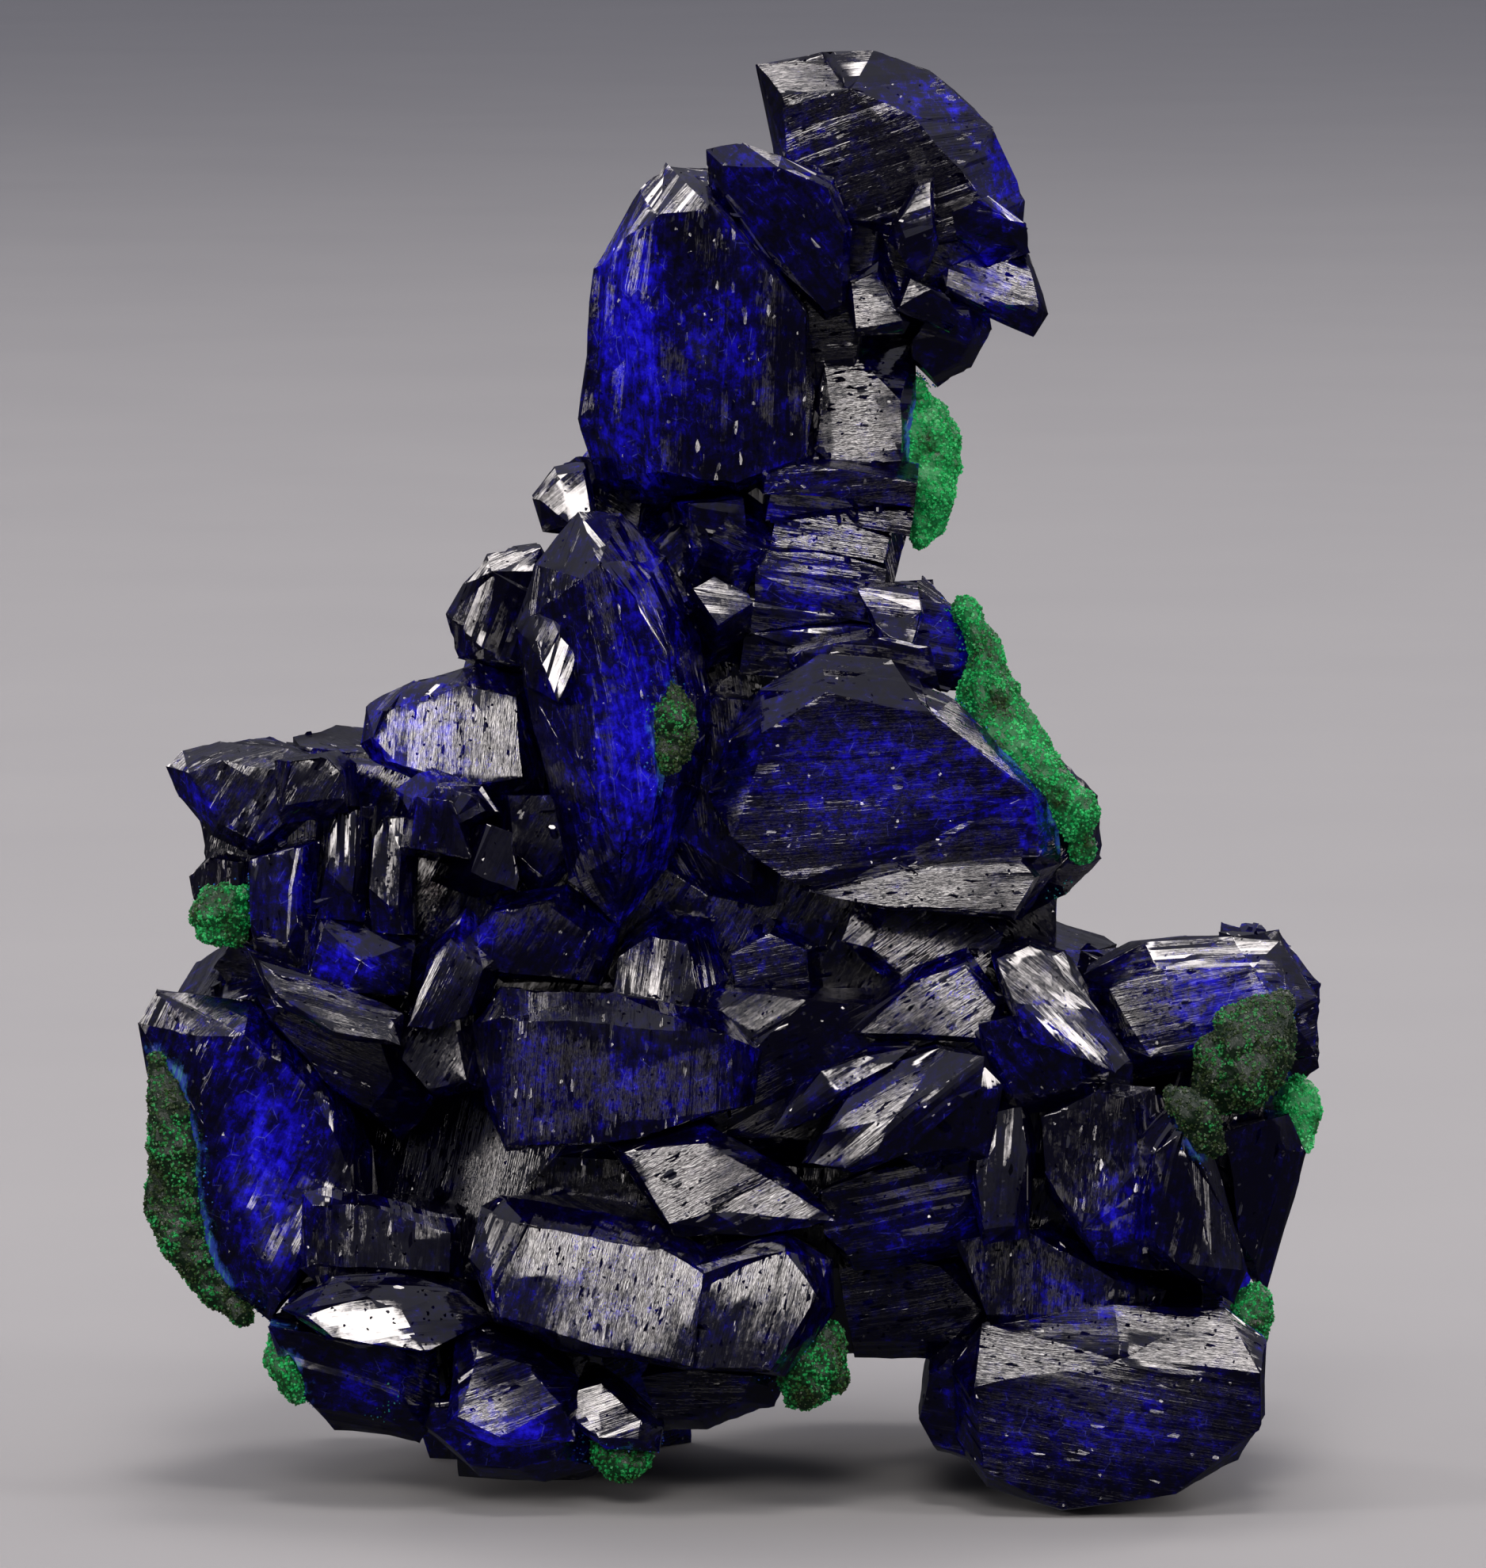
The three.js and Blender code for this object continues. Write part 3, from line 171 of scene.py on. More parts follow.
# How bright a crust is, from dark olive to emerald; brighter crusts also get less painted shade between
# their grains.
CRUST_TONES = {
    "malachite_neck": 0.95, "malachite_slope": 0.80, "malachite_left_knob": 0.70,
    "malachite_left_flank": 0.42, "malachite_left_thread": 0.70, "malachite_shoulder": 0.36,
    "malachite_shoulder_strip": 0.28, "malachite_right_strip": 0.95, "malachite_right_edge": 0.70,
    "malachite_base_middle": 0.55, "malachite_base_left": 0.60, "malachite_blade_patch": 0.40,
}
# Loose patches of grains on the azurite: the crust that they belong to, x, z and radius in millimetres.
LOOSE_PATCHES = (
    ("malachite_shoulder", 34.2, 33.0, 1.0), ("malachite_shoulder", 35.4, 31.6, 1.0),
    ("malachite_left_thread", -21.6, 6.6, 1.5), ("malachite_slope", 20.6, 37.6, 1.2),
)


def seeded(*key):
    """A repeatable random source for a piece of the model."""
    return np.random.default_rng([abs(int(k)) for k in key])


# Shapes of the CAD node.


def welded(node):
    """Points and triangles of a CAD node, with doubled points joined."""
    mesh = node.data
    mesh.calc_loop_triangles()
    points = np.empty(len(mesh.vertices) * 3)
    mesh.vertices.foreach_get("co", points)
    triangles = np.empty(len(mesh.loop_triangles) * 3, dtype=int)
    mesh.loop_triangles.foreach_get("vertices", triangles)
    keys = np.round(points.reshape(-1, 3) / WELD).astype(int)
    _, first, joined = np.unique(keys, axis=0, return_index=True, return_inverse=True)
    triangles = joined.ravel()[triangles].reshape(-1, 3)
    whole = (triangles != np.roll(triangles, 1, axis=1)).all(axis=1)
    return points.reshape(-1, 3)[first], triangles[whole]


def normals_of(points, triangles):
    """Unit normals and areas of triangles."""
    a, b, c = (points[triangles[:, k]] for k in range(3))
    cross = np.cross(b - a, c - a)
    length = np.linalg.norm(cross, axis=1)
    return cross / np.maximum(length, 1e-15)[:, None], length / 2


def edge_table(triangles):
    """Each edge as (low point, high point) with the triangles on its two sides."""
    table = {}
    for index, triangle in enumerate(triangles):
        for k in range(3):
            a, b = int(triangle[k]), int(triangle[(k + 1) % 3])
            table.setdefault((min(a, b), max(a, b)), []).append(index)
    return table


def groups(count, pairs):
    """Group number of each item, where the items of a pair are in one group."""
    parent = list(range(count))

    def root(i):
        while parent[i] != i:
            parent[i] = parent[parent[i]]
            i = parent[i]
        return i

    for i, j in pairs:
        parent[root(i)] = root(j)
    roots = [root(i) for i in range(count)]
    number = {r: n for n, r in enumerate(sorted(set(roots)))}
    return np.array([number[r] for r in roots])


def facets_and_crystals(points, triangles, normals, edges):
    """Facet number and crystal number of each triangle. A crystal ends where the surface folds inwards."""
    flat, ridge = [], []
    middles = points[triangles].mean(axis=1)
    for sides in edges.values():
        if len(sides) != 2:
            continue
        i, j = sides
        if normals[i] @ normals[j] > COPLANAR:
            flat.append((i, j))
        elif (middles[j] - middles[i]) @ normals[i] < 0:
            ridge.append((i, j))
    return groups(len(triangles), flat), groups(len(triangles), flat + ridge)


# Grain of the crystals.


def main_axis(points):
    """Direction in which a cloud of points is longest."""
    spread = points - points.mean(axis=0)
    return np.linalg.svd(spread, full_matrices=False)[2][0]


def grain_of(points):
    """Grain direction of a crystal: the nearest one listed, or its own long axis."""
    x, y, z = points.mean(axis=0) / MM
    near = min(GRAINS, key=lambda g: math.hypot(g[0] - x, g[1] - z))
    if y > 0 or math.hypot(near[0] - x, near[1] - z) > GRAIN_REACH:
        return main_axis(points)
    turn = math.radians(near[2])
    return np.array((math.cos(turn), 0, math.sin(turn)))


def in_plane(direction, normal):
    """Unit vectors along and across a direction in a facet's plane."""
    along = direction - (direction @ normal) * normal
    if np.linalg.norm(along) < 0.25:
        along = np.cross(normal, np.roll(direction, 1) + 0.1)
    along = along / np.linalg.norm(along)
    return along, np.cross(normal, along)


def irregular_lines(low, high, pitch, random):
    """Places of lines between two limits, at irregular distances, with one line beyond each limit."""
    steps = max(4, int((high - low) / pitch[0]) + 4)
    gaps = np.exp(random.uniform(math.log(pitch[0]), math.log(pitch[1]), steps))
    lines = low - gaps[0] * random.uniform(0.1, 1) + np.concatenate(([0], np.cumsum(gaps)))
    return lines[: np.searchsorted(lines, high) + 1]


def between_lines(values, lines):
    """Number of the line below each value, and how far on it is to the next line."""
    below = np.clip(np.searchsorted(lines, values) - 1, 0, len(lines) - 2)
    return below, np.clip((values - lines[below]) / (lines[below + 1] - lines[below]), 0, 1)


def ledges(count, random):
    """Heights of a row of steps that now and then end in a ledge."""
    height, heights = 0.0, []
    for _ in range(count):
        height *= LEDGE_FADE
        if random.random() < LEDGE_SHARE:
            height += random.choice((-1, 1)) * random.uniform(*LEDGE_HEIGHT)
        heights.append(height)
    return np.array(heights)


class Facet:
    """One flat face of a crystal, with the lines of its steps and their heights."""

    def __init__(self, number, normal, corners, area, grain):
        random = seeded(number, FACET_SEED)
        self.normal = normal
        self.along, self.across = in_plane(grain, normal)
        behind = normal[1] > BEHIND[0] or corners[:, 1].mean() > BEHIND[1]
        coarse = np.array((1, 1)) * (BACK_PITCH if behind else 1)
        u, v = corners @ self.along, corners @ self.across
        self.u_lines = irregular_lines(u.min(), u.max(), STRIA_LENGTH * coarse, random)
        self.v_lines = irregular_lines(v.min(), v.max(), STRIA_PITCH * coarse, random)
        gem = area < GEM_AREA
        pitch = math.sqrt(STRIA_PITCH[0] * STRIA_PITCH[1])
        steps = random.normal(0, 1, (len(self.v_lines), 1))
        wander = random.normal(0, STRIA_WANDER, (len(self.v_lines), len(self.u_lines)))
        self.heights = STRIA_TILT * pitch * (steps + wander) + ledges(len(self.v_lines), random)[:, None]
        self.heights *= GEM_TILT if gem else 1
        self.shade = random.random()
        self.torn = random.uniform(*(GEM_SCRATCHES if gem else SCRATCHES))
        self.joints = {}

    def mirror(self, towards, scratches):
        """Turns the facet about its middle, so that its normal comes closer to a direction."""
        slopes = np.array((towards @ self.across, towards @ self.along)) / (towards @ self.normal)
        v, u = self.v_lines - self.v_lines.mean(), self.u_lines - self.u_lines.mean()
        steepest = min(MIRROR_TURN, MIRROR_LIFT / math.hypot(u[-1], v[-1]))
        slopes *= min(1, steepest / np.linalg.norm(slopes))
        self.heights = GEM_TILT * self.heights - slopes[0] * v[:, None] - slopes[1] * u[None, :]
        self.torn = scratches

    def height(self, places):
        """Height of the steps over the facet's plane at some places."""
        i, s = between_lines(places @ self.across, self.v_lines)
        j, t = between_lines(places @ self.along, self.u_lines)
        low = self.heights[i, j] * (1 - t) + self.heights[i, j + 1] * t
        high = self.heights[i + 1, j] * (1 - t) + self.heights[i + 1, j + 1] * t
        return low * (1 - s) + high * s


class Steps:
    """The surface of the crystals, cut along the lines of every facet."""

    def __init__(self, points, triangles, facet_numbers, facets, edges):
        self.points = [np.array(p) for p in points]
        self.homes = [set() for _ in points]  # facets whose steps move a point
        self.faces = []
        self.face_facets = []
        self.face_strips = []  # the step that each face is a part of
        self.strips = {}
        self.facets = facets
        self.edge_points = {e: self.cut_edge(e, sides, facet_numbers) for e, sides in edges.items()}
        for triangle, number in zip(triangles, facet_numbers):
            self.cut_triangle(triangle, number)

    def new_point(self, place, homes):
        self.points.append(place)
        self.homes.append(homes)
        return len(self.points) - 1

    def cut_edge(self, edge, sides, facet_numbers):
        """Points where the lines of the facets on both sides cross an edge, from its low point on."""
        a, b = self.points[edge[0]], self.points[edge[1]]
        homes = {int(facet_numbers[s]) for s in sides if self.facets[facet_numbers[s]]}
        shares = []
        for number in homes:
            facet = self.facets[number]
            for axis, lines in ((facet.along, facet.u_lines), (facet.across, facet.v_lines)):
                start, end = a @ axis, b @ axis
                if abs(end - start) > ON_LINE:
                    share = (lines - start) / (end - start)
                    shares.extend(share[(share > AT_CORNER) & (share < 1 - AT_CORNER)])
        return [self.new_point(a + (b - a) * s, homes) for s in sorted(shares)]

    def outline(self, triangle):
        """Corner numbers of a triangle together with the points on its edges, in order."""
        ring = []
        for k in range(3):
            a, b = int(triangle[k]), int(triangle[(k + 1) % 3])
            between = self.edge_points[(min(a, b), max(a, b))]
            ring.append(a)
            ring.extend(between if a < b else reversed(between))
        return ring

    def add_face(self, ring, number, strip=None):
        if len(ring) >= 3:
            key = (number, strip) if strip is not None else len(self.faces)
            self.faces.append(ring)
            self.face_facets.append(number)
            self.face_strips.append(self.strips.setdefault(key, len(self.strips)))

    def cut_triangle(self, triangle, number):
        """Cuts a triangle into the cells between its facet's lines."""
        ring = self.outline(triangle)
        facet = self.facets[number]
        if facet is None:
            self.add_face(ring, number)
            return
        places = np.array([self.points[i] for i in ring])
        u, v = places @ facet.along, places @ facet.across
        corners = list(zip(ring, u.tolist(), v.tolist()))
        for k in lines_through(v, facet.v_lines):
            low, high = facet.v_lines[k] - ON_LINE, facet.v_lines[k + 1] + ON_LINE
            strip = [corner for corner in corners if low <= corner[2] <= high]
            if len(strip) >= 3:
                self.cut_strip(strip, number, k)

    def cut_strip(self, strip, number, k):
        """Cuts the strip between two lines across its length."""
        facet = self.facets[number]
        ring = []
        for here, following in zip(strip, strip[1:] + strip[:1]):
            ring.append(here)
            for line in (k, k + 1):
                place = facet.v_lines[line]
                if abs(here[2] - place) < ON_LINE and abs(following[2] - place) < ON_LINE:
                    ring.extend(self.joints_on(line, here, following, number))
        for j in lines_through([corner[1] for corner in ring], facet.u_lines):
            low, high = facet.u_lines[j] - ON_LINE, facet.u_lines[j + 1] + ON_LINE
            self.add_face([corner[0] for corner in ring if low <= corner[1] <= high], number, k)

    def joints_on(self, line, here, following, number):
        """Corners where the cross lines meet the stretch of a line between two corners."""
        facet = self.facets[number]
        start, end = here[1], following[1]
        first, last = np.searchsorted(facet.u_lines, sorted((start, end)))
        found = []
        for j in range(first, last):
            place = facet.u_lines[j]
            if min(abs(place - start), abs(place - end)) < ON_LINE:
                continue
            if (line, j) not in facet.joints:
                a, b = self.points[here[0]], self.points[following[0]]
                spot = a + (b - a) * ((place - start) / (end - start))
                facet.joints[line, j] = self.new_point(spot, {number})
            found.append((facet.joints[line, j], place, facet.v_lines[line]))
        return found if end > start else found[::-1]

    def stepped(self):
        """The points moved out or in by the steps of their facets."""
        places = np.array(self.points)
        members = {}
        for index, homes in enumerate(self.homes):
            for number in homes:
                members.setdefault(number, []).append(index)
        shift = np.zeros_like(places)
        for number, own in members.items():
            facet = self.facets[number]
            shift[own] += facet.height(places[own])[:, None] * facet.normal
        return places + shift * fade_near_floor(places)

    def outwards(self):
        """Direction out of the surface at each point."""
        found = np.zeros((len(self.points), 3))
        for index, homes in enumerate(self.homes):
            for number in homes:
                found[index] += self.facets[number].normal
        return found / np.maximum(np.linalg.norm(found, axis=1), 1)[:, None]


def lines_through(values, lines):
    """Numbers of the lines that start a band which some values reach into."""
    first = max(np.searchsorted(lines, min(values)) - 1, 0)
    last = min(np.searchsorted(lines, max(values)), len(lines) - 1)
    return range(first, last)


def fade_near_floor(places):
    """Nothing moves at the resting level, and everything does a little above it."""
    return np.clip(places[:, 2:] / STILL_HEIGHT, 0, 1)


def swelled(places):
    """Places moved by the slow undulation of the whole surface."""
    noise.seed_set(SWELL_SEED)
    shift = np.zeros_like(places)
    for wavelength, depth in SWELLS:
        shift += depth * np.array([noise.noise_vector(Vector(p)) for p in places / wavelength])
    return places + shift * fade_near_floor(places)


def from_middle(x, z, middle_x, middle_z, half_width, half_height):
    """Squared distance from the middle of an area, where 1 is its border."""
    return ((x - middle_x) / half_width) ** 2 + ((z - middle_z) / half_height) ** 2


def fluted(places, outwards):
    """Places moved out and in by upright flutes on the front."""
    x, y, z = (places / MM).T
    share = np.zeros(len(places))
    for area in FLUTES:
        share = np.maximum(share, np.clip(FLUTE_FADE - from_middle(x, z, *area), 0, 1))
    share *= (y < 0) * FLUTE_DEPTH
    size = np.array((FLUTE_SIZE[0], FLUTE_SIZE[0], FLUTE_SIZE[1]))
    moving = np.flatnonzero(share)
    waves = np.array([noise.noise(Vector(p)) for p in places[moving] / size])
    places[moving] += (share[moving] * waves)[:, None] * outwards[moving]
    return places


def worn(places, outwards, ridges):
    """Places on the edges moved in by small chips."""
    chips = np.array([abs(noise.noise(Vector(p))) for p in places[ridges] / WEAR_SIZE])
    places[ridges] -= WEAR_DEPTH * chips[:, None] * outwards[ridges] * fade_near_floor(places[ridges])
    return places


def blueness(places):
    """How vivid the blue is at some places, from 0 to 1."""
    x, y, z = (places / MM).T
    front = np.zeros(len(places))
    for *area, strength in BLUES:
        front = np.maximum(front, strength * np.exp(-from_middle(x, z, *area)))
    clouds = np.array([1 + 2 * noise.noise(Vector(place)) for place in places / BLUE_CLOUDS])
    back = np.clip((y - BACK_BLEND[0]) / BACK_BLEND[1], 0, 1)
    return front * (1 - back) + BLUE_BACK * clouds * back


def roughness_at(places):
    """How scratched the rough areas on the front are, from 0 to 1."""
    x, y, z = (places / MM).T
    share = np.zeros(len(places))
    for middle_x, middle_z, radius in ROUGH:
        share = np.maximum(share, np.clip(2 - 2 * np.hypot(x - middle_x, z - middle_z) / radius, 0, 1))
    return share * (y < 0)


def dustiness(places, crusts):
    """How near some places are to a crust: 1 beside it, 0 out of its reach."""
    corners, triangles, count = [], [], 0
    for points, faces in map(welded, crusts):
        corners.extend(points.tolist())
        triangles.extend((faces + count).tolist())
        count += len(points)
    surface = BVHTree.FromPolygons(corners, triangles)
    found = [surface.find_nearest(Vector(place), DUST_REACH)[3] for place in places]
    return np.array([0 if distance is None else 1 - distance / DUST_REACH for distance in found])


def folds(points, edges, normals, middles, dust):
    """Edges where the surface folds inwards, away from the crusts: their ends and the way out."""
    for (a, b), sides in edges.items():
        if len(sides) == 2 and dust[a] + dust[b] == 0:
            i, j = sides
            inwards = (middles[j] - middles[i]) @ normals[i] > 0.05 * MM
            long = np.linalg.norm(points[b] - points[a]) > SHARD_FOLD
            if inwards and long and normals[i] @ normals[j] < SHARD_ANGLE:
                yield points[a], points[b], normals[i] + normals[j]


# Cross section of a shard, for a half width of 1.
SHARD = np.array([(1, 0), (0.5, 0.9), (-0.6, 0.8), (-1, -0.1), (-0.4, -0.9), (0.6, -0.8)])


def shard(place, outward, random):
    """Points and faces of a small crystal with a slanted end."""
    length = random.uniform(*SHARD_LENGTH)
    wide = length * random.uniform(*SHARD_SLIMNESS)
    axis = outward / np.linalg.norm(outward) + random.normal(0, SHARD_SWAY, 3)
    axis /= np.linalg.norm(axis)
    side, other = in_plane(np.roll(axis, 1) + 0.2, axis)
    ring = wide * (SHARD[:, :1] * side + SHARD_FLATNESS * SHARD[:, 1:] * other)
    slope = random.normal(0, SHARD_SLANT, 2)
    ends = length * (1 - SHARD_SINK) + SHARD_FLATNESS * wide * (SHARD @ slope)
    bottom = place - axis * length * SHARD_SINK + ring
    top = place + ends[:, None] * axis + SHARD_TAPER * ring
    count = len(SHARD)
    walls = [(k, (k + 1) % count, (k + 1) % count + count, k + count) for k in range(count)]
    return np.concatenate([bottom, top]), walls + [tuple(range(count, 2 * count))]


def build_shards(points, triangles, edges, normals, crusts):
    """Small crystals set along the folds, as points and faces."""
    random = seeded(SHARD_SEED)
    shapes, faces, count = [], [], 0
    middles = points[triangles].mean(axis=1)
    for start, end, outward in folds(points, edges, normals, middles, dustiness(points, crusts)):
        length = np.linalg.norm(end - start)
        for _ in range(random.poisson(length / SHARD_SPACING)):
            shape, rings = shard(start + (end - start) * random.random(), outward, random)
            if shape[:, 2].min() > STILL_HEIGHT:
                shapes.append(shape)
                faces.extend([tuple(i + count for i in ring) for ring in rings])
                count += len(shape)
    return np.concatenate(shapes), faces


def make_object(name, points, faces, material):
    """A mesh object from points and faces."""
    mesh = bpy.data.meshes.new(name)
    mesh.from_pydata([tuple(p) for p in points], [], faces)
    mesh.materials.append(material)
    mesh.update()
    thing = bpy.data.objects.new(name, mesh)
    bpy.context.scene.collection.objects.link(thing)
    return thing


def set_floats(mesh, name, values, domain="POINT"):
    layer = mesh.attributes.new(name, "FLOAT", domain)
    layer.data.foreach_set("value", np.asarray(values, dtype=np.float32))


def set_grain(mesh, steps, places):
    """At each face corner: millimetres along and across the grain, and a number for the facet."""
    values = []
    for ring, number in zip(steps.faces, steps.face_facets):
        facet, spots = steps.facets[number], places[ring] / MM
        if facet is None:
            own = np.column_stack([spots[:, :2], np.full(len(ring), 0.5)])
        else:
            shade = np.full(len(ring), facet.shade)
            own = np.column_stack([spots @ facet.along, spots @ facet.across, shade])
        values.append(own)
    corners = sum(len(face.vertices) for face in mesh.polygons)
    grain = np.zeros((corners, 3), dtype=np.float32)
    grain[: sum(len(own) for own in values)] = np.concatenate(values)
    layer = mesh.attributes.new("stria", "FLOAT_VECTOR", "CORNER")
    layer.data.foreach_set("vector", grain.ravel())


def read(items, name, width=1, kind=float):
    """The values of one property of many mesh items."""
    values = np.empty(len(items) * width, dtype=kind)
    items.foreach_get(name, values)
    return values.reshape(-1, width) if width > 1 else values


def shade_along_steps(mesh, strips):
    """Lets the shading run on smoothly along each step, and break from one step to the next."""
    owners = np.repeat(np.arange(len(strips)), read(mesh.polygons, "loop_total", kind=int))
    keys = read(mesh.loops, "vertex_index", kind=int) + len(mesh.vertices) * np.asarray(strips)[owners]
    corners = np.unique(keys, return_inverse=True)[1]
    weighted = read(mesh.polygons, "normal", 3) * read(mesh.polygons, "area")[:, None]
    sums = np.zeros((corners.max() + 1, 3))
    np.add.at(sums, corners, weighted[owners])
    sums /= np.maximum(np.linalg.norm(sums, axis=1), 1e-20)[:, None]
    mesh.polygons.foreach_set("use_smooth", [True] * len(mesh.polygons))
    mesh.normals_split_custom_set(sums[corners].tolist())


def build_facets(points, triangles, normals, areas, facet_numbers, crystal_numbers):
    """The facets that get steps, with None for those that stay plain."""
    grains = {}
    for number in range(crystal_numbers.max() + 1):
        grains[number] = grain_of(points[np.unique(triangles[crystal_numbers == number])])
    facets = []
    for number in range(facet_numbers.max() + 1):
        own = np.flatnonzero(facet_numbers == number)
        area = areas[own].sum()
        resting = points[triangles[own]][:, :, 2].max() < 0.01 * MM
        if area < SMALLEST_CUT or resting:
            facets.append(None)
            continue
        corners = points[np.unique(triangles[own])]
        facets.append(Facet(number, normals[own[0]], corners, area, grains[crystal_numbers[own[0]]]))
    turn_mirrors(points, triangles, facet_numbers, facets)
    return facets


def turn_mirrors(points, triangles, facet_numbers, facets):
    """Turns the listed facets so that the camera sees a softbox in them."""
    surface = BVHTree.FromPolygons(points.tolist(), triangles.tolist())
    for x, z, name, scratches in MIRRORS:
        found = surface.ray_cast(Vector((x * MM, -1, z * MM)), Vector((0, 1, 0)))[2]
        facet = None if found is None else facets[facet_numbers[found]]
        if facet:
            halfway = direction(0, CAMERA_ELEVATION) + direction(*SOFTBOXES[name][:2])
            facet.mirror(np.array(halfway.normalized()), scratches)


def build_azurite(node, crusts, material):
    """The striated crystals that stand for the azurite solid."""
    points, triangles = welded(node)
    normals, areas = normals_of(points, triangles)
    edges = edge_table(triangles)
    facet_numbers, crystal_numbers = facets_and_crystals(points, triangles, normals, edges)
    facets = build_facets(points, triangles, normals, areas, facet_numbers, crystal_numbers)
    steps = Steps(points, triangles, facet_numbers, facets, edges)
    ridges = np.array([len(homes) > 1 for homes in steps.homes])
    outwards = steps.outwards()
    places = worn(fluted(swelled(steps.stepped()), outwards), outwards, ridges)
    shard_places, shard_faces = build_shards(points, triangles, edges, normals, crusts)
    everything = np.concatenate([places, shard_places])
    faces = steps.faces + [tuple(i + len(places) for i in ring) for ring in shard_faces]
    cluster = make_object("azurite_crystals", everything, faces, material)
    blue = blueness(everything)
    blue[: len(places)] += BLUE_RIDGE * ridges * seeded(RIDGE_SEED).random(len(places))
    set_floats(cluster.data, "blue", blue)
    set_floats(cluster.data, "dust", dustiness(everything, crusts))
    torn = [facets[n].torn if facets[n] else PLAIN_SCRATCHES for n in steps.face_facets]
    torn += [0] * len(shard_faces)
    middles = read(cluster.data.polygons, "center", 3)
    set_floats(cluster.data, "torn", np.maximum(torn, roughness_at(middles)), "FACE")
    set_grain(cluster.data, steps, places)
    alone = range(len(steps.strips), len(steps.strips) + len(shard_faces))
    shade_along_steps(cluster.data, steps.face_strips + list(alone))
    return cluster


# Malachite.


def lumpy(point, normal):
    """How far a crust's surface stands out at a point."""
    lumps = sum(noise.noise(point / wavelength) * depth for wavelength, depth in CRUST_LUMPS)
    return normal * (CRUST_SWELL + lumps)


def crust_surface(node):
    """A finely divided copy of a crust, swollen over its bed."""
    points, triangles = welded(node)
    body = bmesh.new()
    corners = [body.verts.new(p) for p in points]
    for triangle in triangles:
        body.faces.new([corners[i] for i in triangle])
    for _ in range(CRUST_SUBDIVISIONS):
        bmesh.ops.subdivide_edges(body, edges=body.edges[:], cuts=1, use_grid_fill=True, smooth=0.6)
    body.normal_update()
    moved = [v.co + lumpy(v.co, v.normal) for v in body.verts]
    for vertex, place in zip(body.verts, moved):
        vertex.co = place
        vertex.co.z = max(vertex.co.z, 0)
    bmesh.ops.triangulate(body, faces=body.faces[:])
    body.normal_update()
    return body


OCTAHEDRON = np.array([(1, 0, 0), (-1, 0, 0), (0, 1, 0), (0, -1, 0), (0, 0, 1), (0, 0, -1)], dtype=float)
OCTAHEDRON_FACES = [(0, 2, 4), (2, 1, 4), (1, 3, 4), (3, 0, 4), (2, 0, 5), (1, 2, 5), (3, 1, 5), (0, 3, 5)]


class Grains:
    """Many small crystals gathered into one mesh."""

    def __init__(self):
        self.points = []
        self.faces = []
        self.rims = []
        self.tips = []

    def add(self, place, outward, size, rim, random):
        start = len(self.points)
        turn = np.array(Matrix.Rotation(random.uniform(0, 6.28), 3, Vector(random.normal(0, 1, 3))))
        shape = (OCTAHEDRON * random.uniform(*GRAIN_REACHES, (6, 1)) * size) @ turn
        self.points.extend(np.array(place) + shape)
        self.faces.extend([tuple(start + i for i in face) for face in OCTAHEDRON_FACES])
        self.rims.extend([rim] * len(OCTAHEDRON))
        # How far each corner reaches out from the crust: the malachite paints shade by it.
        self.tips.extend(np.clip(0.5 + 0.5 * (shape @ outward) / size, 0, 1))


def scattered(points, triangles, density, random):
    """Seeded points spread evenly over triangles, with the triangle of each."""
    _, areas = normals_of(points, triangles)
    count = int(areas.sum() / MM**2 * density)
    chosen = random.choice(len(triangles), count, p=areas / areas.sum())
    share = np.sort(random.random((count, 2)), axis=1)
    weights = np.stack([share[:, 0], share[:, 1] - share[:, 0], 1 - share[:, 1]], axis=1)
    return np.einsum("ij,ijk->ik", weights, points[triangles[chosen]]), chosen


def rim_of(place, distance, patches, random):
    """How blue a loose grain beside a crust is, or None where there is no grain."""
    if distance < RIM_REACH * random.random():
        return 0.2 + 0.8 * distance / RIM_REACH
    for x, z, radius in patches:
        if math.hypot(place[0] / MM - x, place[2] / MM - z) < radius * random.random() ** 0.5:
            return PATCH_RIM
    return None


def crust_grains(points, triangles, random):
    """Grains all over a crust."""
    normals, _ = normals_of(points, triangles)
    grains = Grains()
    for place, chosen in zip(*scattered(points, triangles, GRAIN_DENSITY, random)):
        grains.add(place, normals[chosen], random.uniform(*GRAIN_SIZE), 0, random)
    return grains


def bed_round(points, patches, azurite_points, azurite_triangles):
    """Triangles of the azurite round a crust and under its loose patches."""
    low, high = points.min(axis=0) - 2 * RIM_REACH, points.max(axis=0) + 2 * RIM_REACH
    for x, z, radius in patches:
        low = np.minimum(low, np.array((x - radius, -30, z - radius)) * MM)
        high = np.maximum(high, np.array((x + radius, 0, z + radius)) * MM)
    middles = azurite_points[azurite_triangles].mean(axis=1)
    return azurite_triangles[((middles > low) & (middles < high)).all(axis=1)]


def add_loose_grains(grains, surface, patches, azurite_points, bed, random):
    """Adds grains on the azurite beside a crust."""
    outwards, _ = normals_of(azurite_points, bed)
    for place, chosen in zip(*scattered(azurite_points, bed, RIM_DENSITY, random)):
        rim = rim_of(place, surface.find_nearest(Vector(place))[3], patches, random)
        if rim is not None:
            grains.add(place, outwards[chosen], RIM_SIZE * random.uniform(*GRAIN_SIZE), rim, random)


